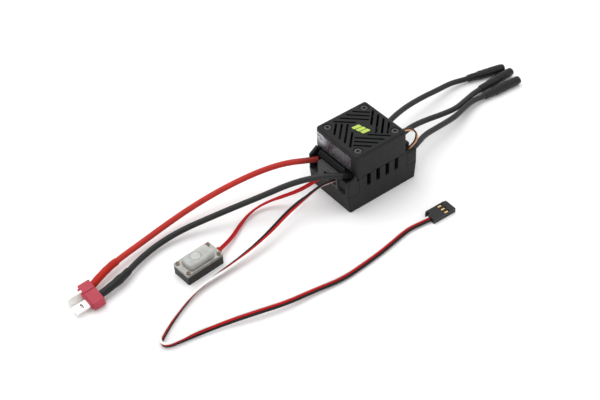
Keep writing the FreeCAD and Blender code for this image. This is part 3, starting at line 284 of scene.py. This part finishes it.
def cased(name, low, lip, z0, z1):
    """Dark moulding with a pale worn lip round its top."""
    m = Mat(name, Specular_IOR_Level=0.3)
    split = m.node("ShaderNodeSeparateXYZ")
    m.link(m.where(), split.inputs[0])
    n = m.node("ShaderNodeMapRange", interpolation_type="SMOOTHSTEP")
    n.inputs["From Min"].default_value = z0
    n.inputs["From Max"].default_value = z1
    m.link(split.outputs["Z"], n.inputs["Value"])
    worn = m.ramp(m.noise(900, 5, 0.65), [(0.35, scaled(lip, 0.55)), (0.6, lip)])
    m.colour(m.mix(n.outputs["Result"], low, worn))
    m.rough(m.noise(700, 3), 0.42, 0.56)
    m.bumps((m.noise(9000, 2, 0.6), 0.35, 0.00002), (m.noise(2250, 3), 0.2, 0.00002))
    return m.m


def foil(name, dark, silver_and_highlight, y0, y1, z0, z1):
    """Dark glossy foil strip, blank, with pale flecks, and a painted highlight towards one end and along its upper
    edge.
    """
    m = Mat(name, Specular_IOR_Level=0.4, Coat_Weight=0.08, Coat_Roughness=0.2)
    split = m.node("ShaderNodeSeparateXYZ")
    m.link(m.where(), split.inputs[0])

    def span(out, lo, hi):
        n = m.node("ShaderNodeMapRange", interpolation_type="SMOOTHSTEP")
        n.inputs["From Min"].default_value = lo
        n.inputs["From Max"].default_value = hi
        m.link(split.outputs[out], n.inputs["Value"])
        return n.outputs["Result"]

    def times(a, b):
        n = m.node("ShaderNodeMath", operation="MULTIPLY")
        m.link(a, n.inputs[0])
        m.link(b, n.inputs[1])
        return n.outputs[0]

    # painted highlight: a glint towards one end and along the upper edge, broken up by noise
    painted_highlight_mask = m.ramp(m.noise(520, 5, 0.6, stretch=(1, 0.4, 1)), [(0.40, 0.15), (0.54, 1.0)])
    flecks = m.ramp(m.noise(2600, 3, 0.6, stretch=(1, 0.5, 1)), [(0.54, 0.0), (0.66, 0.38)])
    c = m.mix(flecks, dark, scaled(silver_and_highlight, 0.6))
    c = m.mix(times(times(span("Y", y0, y1), span("Z", z0, z1)), painted_highlight_mask), c, silver_and_highlight)
    m.colour(c)
    m.rough(m.noise(800, 4), 0.18, 0.32)
    m.bumps((m.noise(5200, 3), 0.25, 0.000006), (m.noise(350, 2), 0.2, 0.00003))
    return m.m


M = {
    "housing": moulded("housing_black", (0.0125, 0.0127, 0.0131), 0.52, scuff=0.20, spec=0.17),
    # input end wall: painted light on its face between the leads
    "wall": end_wall("end_wall_grey", (0.046, 0.046, 0.048), (0.0125, 0.0127, 0.0131), 0.0125, 0.0142),
    "cover": moulded("cover_black", (0.0115, 0.0118, 0.0124), 0.48, scuff=0.2, spec=0.17),
    "sealant": gloss("sealant_black", (0.0022, 0.0022, 0.0026), 0.40, coat=0.0, depth=0.00004, spec=0.12),
    "band": gloss("shrink_gloss", (0.0022, 0.0024, 0.0032), 0.34, coat=0.0, depth=0.00003, spec=0.12),
    "fan": moulded("fan_plastic", (0.006, 0.006, 0.0065), 0.42, spec=0.25),
    "screw": metal("screw_black", (0.095, 0.095, 0.097), 0.38, vary=0.2),
    "steel": metal("steel", (0.52, 0.52, 0.53), 0.28),
    "bronze": metal("bronze", (0.42, 0.30, 0.17), 0.42),
    "copper": metal("copper", (0.60, 0.26, 0.12), 0.30, stretch=(1, 1, 6), scale=3000, line=0.00004),
    "sink": metal("heatsink_black", (0.030, 0.030, 0.032), 0.5, stretch=(1, 0.05, 1), scale=4000),
    "thermal": moulded("thermal_grey", (0.30, 0.32, 0.35), 0.7),
    "chip": moulded("chip_black", (0.012, 0.012, 0.012), 0.48),
    "board": gloss("board_green", (0.012, 0.075, 0.028), 0.28, coat=0.4),
    "can": metal("can_aluminium", (0.55, 0.55, 0.57), 0.28),
    # label: dark foil with a painted highlight towards one end
    "label": foil("label_dark", (0.016, 0.016, 0.021), (0.62, 0.62, 0.66), 0.0060, 0.0125, 0.0240, 0.0290),
    "badge": gloss("badge_lime", (0.43, 0.565, 0.078), 0.34, coat=0.1, vary=0.08),
    # the leads get painted shade near the housing
    "red": silicone("silicone_red", (0.44, 0.030, 0.022), sheen=0.0, spec=0.15, dust=0.05, painted_shade=0.55),
    "black": silicone("silicone_black", (0.0098, 0.0100, 0.0098), sheen=0.02, spec=0.34, dust=0.06, painted_shade=0.8),
    "shrink_red": shrink("shrink_red", (0.40, 0.016, 0.008), 0.44, wave=0.0003, spec=0.16),
    "shrink_black": shrink("shrink_black", (0.0085, 0.0088, 0.0090), 0.40, wave=0.0003, spec=0.28),
    "rose": gloss("plug_rose", (0.40, 0.040, 0.066), 0.42, coat=0.05, sss=0.05, grain=5000, spec=0.25),
    "blade": plated("blade_plated", (0.93, 0.925, 0.88), 0.38),
    # the flat blade, with painted shade in its slot
    "blade_slot": plated("blade_slotted", (0.93, 0.925, 0.88), 0.38, (-0.15909, 0.0130)),
    "gold": metal("gold_plate", (0.83, 0.58, 0.25), 0.22),
    "wire_red": silicone("wire_red", (0.42, 0.0075, 0.0095), 0.40, sheen=0.0, dust=0.03, spec=0.15),
    "wire_black": silicone("wire_black", (0.0075, 0.0070, 0.0068), 0.40, sheen=0.0, dust=0.03, spec=0.22),
    "wire_white": silicone("wire_white", (0.86, 0.85, 0.83), 0.36, sheen=0.05, dust=0.02),
    "wire_tan": silicone("wire_tan", (0.70, 0.36, 0.19), 0.36, sheen=0.0, dust=0.04),
    "wire_brown": silicone("wire_brown", (0.055, 0.022, 0.011), 0.36, sheen=0.0, dust=0.04, spec=0.3),
    "case": cased("switch_case", (0.018, 0.017, 0.015), (0.30, 0.29, 0.27), 0.0046, 0.0050),
    "switch": moulded("switch_plastic", (0.018, 0.017, 0.015), 0.48, scuff=0.3, spec=0.3),
    "plate": metal("switch_steel", (0.34, 0.335, 0.315), 0.36, stretch=(0.05, 1, 1), scale=3800, vary=0.18),
    "screw_brown": metal("screw_brown", (0.20, 0.16, 0.13), 0.42, vary=0.2),
    "button": gloss("button_white", (0.47, 0.48, 0.465), 0.36, coat=0.1, sss=0.25),
    "boot": gloss("boot_rubber", (0.42, 0.425, 0.405), 0.42, coat=0.08, sss=0.30, vary=0.16, grain=4200, depth=0.00003),
    "servo": moulded("servo_plastic", (0.010, 0.010, 0.0103), 0.40, spec=0.35),
}


def dress(node, key):
    ob = nodes[node]
    ob.data.materials.clear()
    ob.data.materials.append(M[key])


# ------------------------------------------------------------------ curve and mesh helpers

def link(ob):
    bpy.context.scene.collection.objects.link(ob)
    return ob


def nurbs(name, pts, bevel=0.0, mat=None, res=10):
    cu = bpy.data.curves.new(name, "CURVE")
    cu.dimensions = "3D"
    cu.resolution_u = res
    cu.bevel_depth = bevel
    cu.bevel_resolution = 7
    cu.use_fill_caps = bevel > 0
    sp = cu.splines.new("NURBS")
    sp.points.add(len(pts) - 1)
    for p, q in zip(sp.points, pts):
        p.co = (*q, 1.0)
    sp.order_u = 3
    sp.use_endpoint_u = True
    ob = bpy.data.objects.new(name, cu)
    if mat is not None:
        cu.materials.append(mat)
    return ob


def follow(name, pts, res=10):
    """The line of a route's own spline, as points."""
    ob = nurbs(name + "_line", pts, res=res)
    link(ob)
    bpy.context.view_layer.update()
    me = bpy.data.meshes.new_from_object(ob)
    line = [v.co.copy() for v in me.vertices]
    bpy.data.objects.remove(ob)
    bpy.data.meshes.remove(me)
    return line


def arc_lengths(line):
    s = [0.0]
    for a, b in zip(line, line[1:]):
        s.append(s[-1] + (b - a).length)
    return s


def frames_of(line, across=None):
    """Tangent, side and up at each point; the side stays level, or keeps to the direction across."""
    out = []
    n = len(line)
    for i, p in enumerate(line):
        t = (line[min(i + 1, n - 1)] - line[max(i - 1, 0)]).normalized()
        side = across - t * across.dot(t) if across else t.cross(Vector((0, 0, 1)))
        if side.length < 1e-4:
            side = out[-1][1].copy() if out else Vector((0, 1, 0))
        side.normalize()
        upv = side.cross(t).normalized()
        out.append((t, side, upv))
    return out


def mesh_object(name, bm, mats, smooth=True, angle=35.0):
    me = bpy.data.meshes.new(name)
    bmesh.ops.recalc_face_normals(bm, faces=bm.faces)
    bm.to_mesh(me)
    bm.free()
    for m in mats:
        me.materials.append(m)
    ob = bpy.data.objects.new(name, me)
    link(ob)
    if smooth:
        for p in me.polygons:
            p.use_smooth = True
        me.set_sharp_from_angle(angle=math.radians(angle))
    return ob


def add_tube(bm, centres, frames, radius, seg=16, mat=0, caps=True, squash=1.0):
    """A tube through the centres; radius is a number or a list of one per centre."""
    rings = []
    for i, (c, (t, side, upv)) in enumerate(zip(centres, frames)):
        r = radius[i] if isinstance(radius, (list, tuple)) else radius
        rings.append([bm.verts.new(c + side * (r * math.cos(a)) + upv * (r * squash * math.sin(a)))
                      for a in (2 * math.pi * k / seg for k in range(seg))])
    for ra, rb in zip(rings, rings[1:]):
        for k in range(seg):
            f = bm.faces.new((ra[k], ra[(k + 1) % seg], rb[(k + 1) % seg], rb[k]))
            f.material_index = mat
    if caps:
        for ring in (rings[0], rings[-1]):
            f = bm.faces.new(ring)
            f.material_index = mat
    return rings


def ramp_between(s, keys):
    """Smooth value at s from sorted (s, value) keys."""
    if s <= keys[0][0]:
        return keys[0][1]
    for (a, va), (b, vb) in zip(keys, keys[1:]):
        if s <= b:
            t = (s - a) / (b - a)
            t = t * t * (3 - 2 * t)
            return va + (vb - va) * t
    return keys[-1][1]


def strands(name, line, offsets, radius, mats, roll=None, seg=14, across=None):
    """Parallel strands beside a line; roll turns their row about the line."""
    fr = frames_of(line, across)
    s = arc_lengths(line)
    bm = bmesh.new()
    for k, off in enumerate(offsets):
        centres = []
        for p, (t, side, upv), si in zip(line, fr, s):
            a = math.radians(roll(si, p)) if roll else 0.0
            w = side * math.cos(a) + upv * math.sin(a)
            centres.append(p + w * off)
        add_tube(bm, centres, fr, radius, seg=seg, mat=k)
    return mesh_object(name, bm, mats, angle=60)


def sleeve_on(name, line, s0, s1, shape, mat, seg=28, wall=0.0003):
    """A shrink sleeve round part of a line. shape gives the outer radius at 0..1 and the angle."""
    s = arc_lengths(line)
    pts = []
    n = 46
    for i in range(n + 1):
        d = s0 + (s1 - s0) * i / n
        k = 0
        while k < len(s) - 2 and s[k + 1] < d:
            k += 1
        f = (d - s[k]) / max(1e-9, s[k + 1] - s[k])
        pts.append(line[k].lerp(line[k + 1], min(1.0, f)) if f <= 1.0 else line[-1] + (line[-1] - line[-2]).normalized() * (d - s[-1]))
    fr = frames_of(pts)
    bm = bmesh.new()
    outer, inner = [], []
    for i, (c, (t, side, upv)) in enumerate(zip(pts, fr)):
        u = i / n
        ro, ri = [], []
        for k in range(seg):
            a = 2 * math.pi * k / seg
            d = side * math.cos(a) + upv * math.sin(a)
            r = shape(u, a)
            ro.append(bm.verts.new(c + d * r))
            ri.append(bm.verts.new(c + d * (r - wall)))
        outer.append(ro)
        inner.append(ri)
    for rows, flip in ((outer, False), (inner, True)):
        for ra, rb in zip(rows, rows[1:]):
            for k in range(seg):
                q = (ra[k], ra[(k + 1) % seg], rb[(k + 1) % seg], rb[k])
                bm.faces.new(q[::-1] if flip else q)
    for i in (0, -1):
        for k in range(seg):
            bm.faces.new((outer[i][k], outer[i][(k + 1) % seg], inner[i][(k + 1) % seg], inner[i][k]))
    return mesh_object(name, bm, [mat], angle=50)


# ------------------------------------------------------------------ cords

R_LEAD = 0.00155

RED = [(-0.0199, 0.0116, 0.0167), (-0.0249, 0.0141, 0.0169), (-0.0332, 0.0210, 0.0154), (-0.0440, 0.0260, 0.0135),
       (-0.0570, 0.0294, 0.0114), (-0.0710, 0.0316, 0.0092), (-0.0860, 0.0325, 0.0070), (-0.1010, 0.0318, 0.0053),
       (-0.1160, 0.0298, 0.0044), (-0.1290, 0.0276, 0.0044), (-0.1402, 0.0246, 0.0047), (-0.148858, 0.0212, 0.00357)]
BLACK = [(-0.0184, -0.0117, 0.0202), (-0.0240, -0.0078, 0.0212), (-0.0323, -0.0004, 0.0194), (-0.0420, 0.0059, 0.0166),
         (-0.0550, 0.0107, 0.0132), (-0.0690, 0.0160, 0.0099), (-0.0830, 0.0208, 0.0068), (-0.0960, 0.0245, 0.0044),
         (-0.1090, 0.0249, 0.0032), (-0.1220, 0.0219, 0.0032), (-0.1330, 0.0170, 0.0039), (-0.1418, 0.0143, 0.0042),
         (-0.148858, 0.0136, 0.00357)]
BULLETS = {
    "a": (Vector((0.0988, 0.0241, 0.0026)), Vector((0.1204, 0.0186, 0.0026))),
    "b": (Vector((0.0973, 0.01265, 0.0026)), Vector((0.1213, 0.0133, 0.0026))),
    "c": (Vector((0.0949, 0.0066, 0.0026)), Vector((0.1189, 0.00494, 0.0026))),
}


def on_axis(key, back_by):
    p, q = BULLETS[key]
    return tuple(p + (q - p).normalized() * back_by)


MOTOR = {
    "a": [(0.01995, 0.0116, 0.0145), (0.0260, 0.0119, 0.0148), (0.0365, 0.0160, 0.0135), (0.0490, 0.0200, 0.0111),
          (0.0620, 0.0226, 0.0086), (0.0740, 0.0240, 0.0065), (0.0865, 0.0260, 0.0041), on_axis("a", -0.0035), on_axis("a", 0.0045)],
    "b": [(0.01995, 0.0, 0.0145), (0.0255, 0.0003, 0.0148), (0.0365, 0.0035, 0.0133), (0.0490, 0.0050, 0.0103),
          (0.0610, 0.0054, 0.0076), (0.0720, 0.0062, 0.0055), (0.0825, 0.0095, 0.0040), on_axis("b", -0.0045), on_axis("b", 0.0045)],
    "c": [(0.01995, -0.0116, 0.0145), (0.0250, -0.0113, 0.0147), (0.0305, -0.0089, 0.0139), (0.0380, -0.0054, 0.0123),
          (0.0470, -0.0033, 0.0102), (0.0565, -0.0016, 0.0083), (0.0665, 0.0004, 0.0067), (0.0765, 0.0042, 0.0052),
          (0.0855, 0.0067, 0.0038), on_axis("c", -0.0020), on_axis("c", 0.0045)],
}
SWITCH = [(-0.0199, 0.0009, 0.0144), (-0.0242, 0.0019, 0.0143), (-0.0295, 0.0035, 0.0121), (-0.0367, 0.0051, 0.0098),
          (-0.0437, 0.0097, 0.0066), (-0.0500, 0.0140, 0.0038), (-0.0575, 0.0156, 0.0022), (-0.0650, 0.0139, 0.0017),
          (-0.0725, 0.0100, 0.0017), (-0.0800, 0.0054, 0.0023), (-0.08852, 0.002228, 0.0033)]
RECEIVER = [(-0.0199, -0.0044, 0.0141), (-0.0242, -0.0036, 0.0143), (-0.0298, -0.0020, 0.0134), (-0.0402, -0.0026, 0.0110),
            (-0.0512, -0.0036, 0.0085), (-0.0640, -0.0067, 0.0062), (-0.0770, -0.0088, 0.0044), (-0.0900, -0.0098, 0.0030),
            (-0.1012, -0.0105, 0.0024), (-0.1114, -0.0117, 0.0021), (-0.1214, -0.0156, 0.0020), (-0.1309, -0.0203, 0.0020),
            (-0.1374, -0.0243, 0.0020), (-0.1409, -0.0267, 0.0020), (-0.1416, -0.0295, 0.0020), (-0.1395, -0.0316, 0.0020),
            (-0.1344, -0.0325, 0.0020), (-0.1252, -0.0340, 0.0023), (-0.1110, -0.0376, 0.0031), (-0.0970, -0.0423, 0.0040),
            (-0.0830, -0.0459, 0.0035), (-0.0680, -0.0469, 0.0021), (-0.0540, -0.0492, 0.0014), (-0.0400, -0.0484, 0.0013),
            (-0.0270, -0.0471, 0.0013), (-0.0160, -0.0453, 0.0013), (-0.0080, -0.0440, 0.0013), (-0.0010, -0.0447, 0.0013),
            (0.005342, -0.045529, 0.0013)]

red = link(nurbs("lead_red", RED, R_LEAD, M["red"], 14))
black = link(nurbs("lead_black", BLACK, R_LEAD, M["black"], 14))
red_line, black_line = follow("red", RED, 14), follow("black", BLACK, 14)
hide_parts("battery_lead_red")
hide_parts("battery_lead_black")


def cuff(r0, bulge=0.0, at=0.35, seed=0.0):
    """Outer radius of a shrink sleeve: drawn in at both ends, lumpy between."""
    def shape(u, a):
        end = min(1.0, min(u, 1 - u) / 0.10)
        r = R_LEAD + 0.00012 + (r0 - R_LEAD - 0.00012) * (0.55 + 0.45 * math.sin(end * math.pi / 2))
        r += bulge * math.exp(-((u - at) / 0.13) ** 2)
        r += 0.00004 * math.sin(9 * u + 2 * a + seed) + 0.00003 * math.sin(21 * u - 3 * a + seed * 2)
        return r
    return shape


sr, sb = arc_lengths(red_line)[-1], arc_lengths(black_line)[-1]
cuff_red = sleeve_on("cuff_red", red_line, sr - 0.0176, sr + 0.0002, cuff(0.00190, 0.00010, 0.4), M["shrink_red"])
cuff_black = sleeve_on("cuff_black", black_line, sb - 0.0190, sb + 0.0002, cuff(0.00198, 0.00032, 0.36, 1.3), M["shrink_black"])
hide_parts("battery_sleeve_red")
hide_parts("battery_sleeve_black")

for key in "abc":
    lead = link(nurbs("motor_" + key, MOTOR[key], R_LEAD, M["black"], 14))
    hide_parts("motor_lead_" + key)
    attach(lead, CONTROLLER)
    p, q = BULLETS[key]
    d = (q - p).normalized()
    total = (q - p).length
    base_line = [p + d * (-0.0010 + (total + 0.0010) * i / 60) for i in range(61)]

    def boot_shape(u, a, total=total, seed=ord(key)):
        x = -0.0010 + (total + 0.0010) * u
        r = ramp_between(x, [(-0.0010, 0.00180), (-0.0004, 0.00206), (0.0050, 0.00218), (0.0058, 0.00226), (0.0066, 0.00252),
                             (total - 0.0022, 0.00254), (total - 0.0010, 0.00246), (total, 0.00224)])
        wob = 0.00005 * math.sin(9 * u + 2 * a + seed) + 0.00004 * math.sin(34 * u + a * 3 + seed)
        return min(r + wob, 0.00259)

    sleeve = sleeve_on("bullet_skin_" + key, base_line, 0.0, total + 0.0010, boot_shape, M["shrink_black"], seg=32, wall=0.00028)
    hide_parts("bullet_sleeve_" + key)
    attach(sleeve, CONTROLLER)

# The return spring under the button; it shortens as the button goes down, but here it is one fixed coil.
def spring_piece(node):
    low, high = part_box(node)
    cx, cy, wire = (low[0] + high[0]) / 2, (low[1] + high[1]) / 2, 0.00013
    r, z0, rise, turns = 0.0008, low[2] + wire, high[2] - low[2] - 2 * wire, 3.57
    steps = int(turns * 12)
    pts = [(cx + r * math.cos(2 * math.pi * turns * i / steps), cy + r * math.sin(2 * math.pi * turns * i / steps),
            z0 + rise * i / steps) for i in range(steps + 1)]
    line = follow("spring_line", pts, 4)
    bm = bmesh.new()
    add_tube(bm, line, frames_of(line), wire, seg=8)
    ob = mesh_object("spring_coil", bm, [M["steel"]])
    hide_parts(node)
    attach(ob, CONTROLLER)
    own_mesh(ob)
    return ob


spring = spring_piece("button_spring")


# Two thin red wires to the switch, side by side.
def s_near(point, line, lengths):
    """Distance along a line to its point nearest to the one given."""
    v = Vector(point)
    return min(zip(lengths, line), key=lambda q: (q[1] - v).length)[0]


sw_line = follow("switch", SWITCH, 14)
sw_s = arc_lengths(sw_line)
SWITCH_ROLL = [(0.0, 10.0), (s_near(SWITCH[3], sw_line, sw_s), 15.0), (s_near(SWITCH[4], sw_line, sw_s), 4.0),
               (s_near(SWITCH[5], sw_line, sw_s), -28.0), (s_near(SWITCH[6], sw_line, sw_s), -44.0),
               (s_near(SWITCH[7], sw_line, sw_s), -34.0), (s_near(SWITCH[8], sw_line, sw_s), -8.0), (sw_s[-1], 0.0)]
switch_pair = strands("switch_wires", sw_line, (0.00055, -0.00055), 0.00055, [M["wire_red"], M["wire_red"]],
                      roll=lambda s, p: ramp_between(s, SWITCH_ROLL), seg=14)
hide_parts("switch_lead")

# Flat three-wire ribbon to the receiver.
rx_line = follow("receiver", RECEIVER, 14)
rx_s = arc_lengths(rx_line)


def rx_at(i, plus=0.0):
    return s_near(RECEIVER[i], rx_line, rx_s) + plus


ROLL = [(0.0, 125.0), (rx_at(2), 125.0), (rx_at(3, -0.003), 108.0), (rx_at(3, 0.005), 64.0), (rx_at(4), 34.0),
        (rx_at(5, -0.004), 22.0), (rx_at(5, 0.006), 0.0), (rx_at(6), -12.0), (rx_at(7), -28.0), (rx_at(9, -0.003), -62.0),
        (rx_at(10), -85.0), (rx_at(12), -102.0), (rx_at(14), -101.0), (rx_at(16), -92.0), (rx_at(17), -62.0),
        (rx_at(19), -30.0), (rx_at(22), -10.0), (rx_at(25), 0.0), (rx_s[-1], 0.0)]
ribbon = strands("receiver_ribbon", rx_line, (0.00117, 0.0, -0.00117), 0.0006,
                 [M["wire_black"], M["wire_red"], M["wire_white"]], roll=lambda s, p: ramp_between(s, ROLL), seg=14)
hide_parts("receiver_lead")

# The fan's two wires loop from the cover down to the rear shelf.
FAN_WIRE = [(0.01362, -0.0113, 0.0309), (0.0176, -0.0128, 0.0319), (0.0211, -0.0148, 0.0309), (0.0223, -0.0159, 0.0276),
            (0.0221, -0.0155, 0.0238), (0.0204, -0.0146, 0.0209), (0.0184, -0.0133, 0.0180)]
fan_line = follow("fan_wire", FAN_WIRE, 14)
FAN_ROLL = [(0.0, -40.0), (0.0055, -62.0), (0.0095, -160.0), (0.0135, -262.0), (0.0225, -275.0)]
fan_pair = strands("fan_wires", fan_line, (0.00043, -0.00043), 0.00042, [M["wire_tan"], M["wire_brown"]],
                   roll=lambda s, p: ramp_between(s, FAN_ROLL), seg=14, across=Vector((-0.48, -0.87, 0.0)))
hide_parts("fan_lead")

for piece in (red, black, cuff_red, cuff_black, switch_pair, ribbon, fan_pair):
    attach(piece, CONTROLLER)

# ------------------------------------------------------------------ CAD pieces that keep their shape

for node, key in {
    "base_housing": "housing", "input_end_wall": "wall", "output_end_wall": "housing", "fan_cover": "cover",
    "cover_screws": "screw", "label_plate": "label", "top_badge": "badge", "fan_frame": "fan", "fan_rotor": "fan",
    "fan_shaft": "steel", "fan_bearing": "bronze", "fan_coil": "copper", "heatsink": "sink", "thermal_pad": "thermal",
    "power_transistors": "chip", "power_board": "board", "control_board": "board", "board_pins": "chip",
    "control_chips": "chip", "input_capacitors": "can", "capacitor_sleeve": "band", "input_seal": "sealant",
    "output_seal": "sealant", "battery_plug_body": "rose", "plug_blade_flat": "blade_slot", "plug_blade_upright": "blade",
    "bullet_socket_a": "gold", "bullet_socket_b": "gold", "bullet_socket_c": "gold", "switch_grommet": "shrink_red",
    "switch_case": "case", "switch_frame": "plate", "switch_boot": "boot", "switch_screws": "screw_brown",
    "switch_core": "switch", "switch_button": "button", "receiver_plug": "servo",
    "receiver_contacts": "gold",
}.items():
    dress(node, key)

# ------------------------------------------------------------------ floor and light

bm = bmesh.new()
bmesh.ops.create_grid(bm, x_segments=2, y_segments=2, size=3.0)
floor = mesh_object("floor", bm, [], smooth=False)
floor.location = (0.0, 0.0, -0.00002)
fm = Mat("floor_paper", Specular_IOR_Level=0.2)
fm.colour(fm.ramp(fm.noise(3, 3), [(0.3, (0.90, 0.90, 0.905)), (0.7, (0.93, 0.93, 0.93))]))
fm.rough(fm.noise(40, 3), 0.6, 0.7)
floor.data.materials.append(fm.m)

bpy.context.scene.view_settings.view_transform = "Standard"
world = bpy.data.worlds.new("studio")
world.use_nodes = True
bg = world.node_tree.nodes["Background"]
bg.inputs["Color"].default_value = (1.0, 1.0, 1.0, 1.0)
bg.inputs["Strength"].default_value = 1.0
bpy.context.scene.world = world


def area(name, loc, target, size, power, colour=(1, 1, 1)):
    ld = bpy.data.lights.new(name, "AREA")
    ld.shape = "SQUARE"
    ld.size = size
    ld.energy = power
    ld.color = colour
    ob = bpy.data.objects.new(name, ld)
    ob.location = loc
    ob.rotation_euler = (Vector(target) - Vector(loc)).to_track_quat("-Z", "Y").to_euler()
    link(ob)
    return ob


area("key", (-0.10, 0.35, 1.05), (-0.02, 0.0, 0.0), 0.9, 5.0)
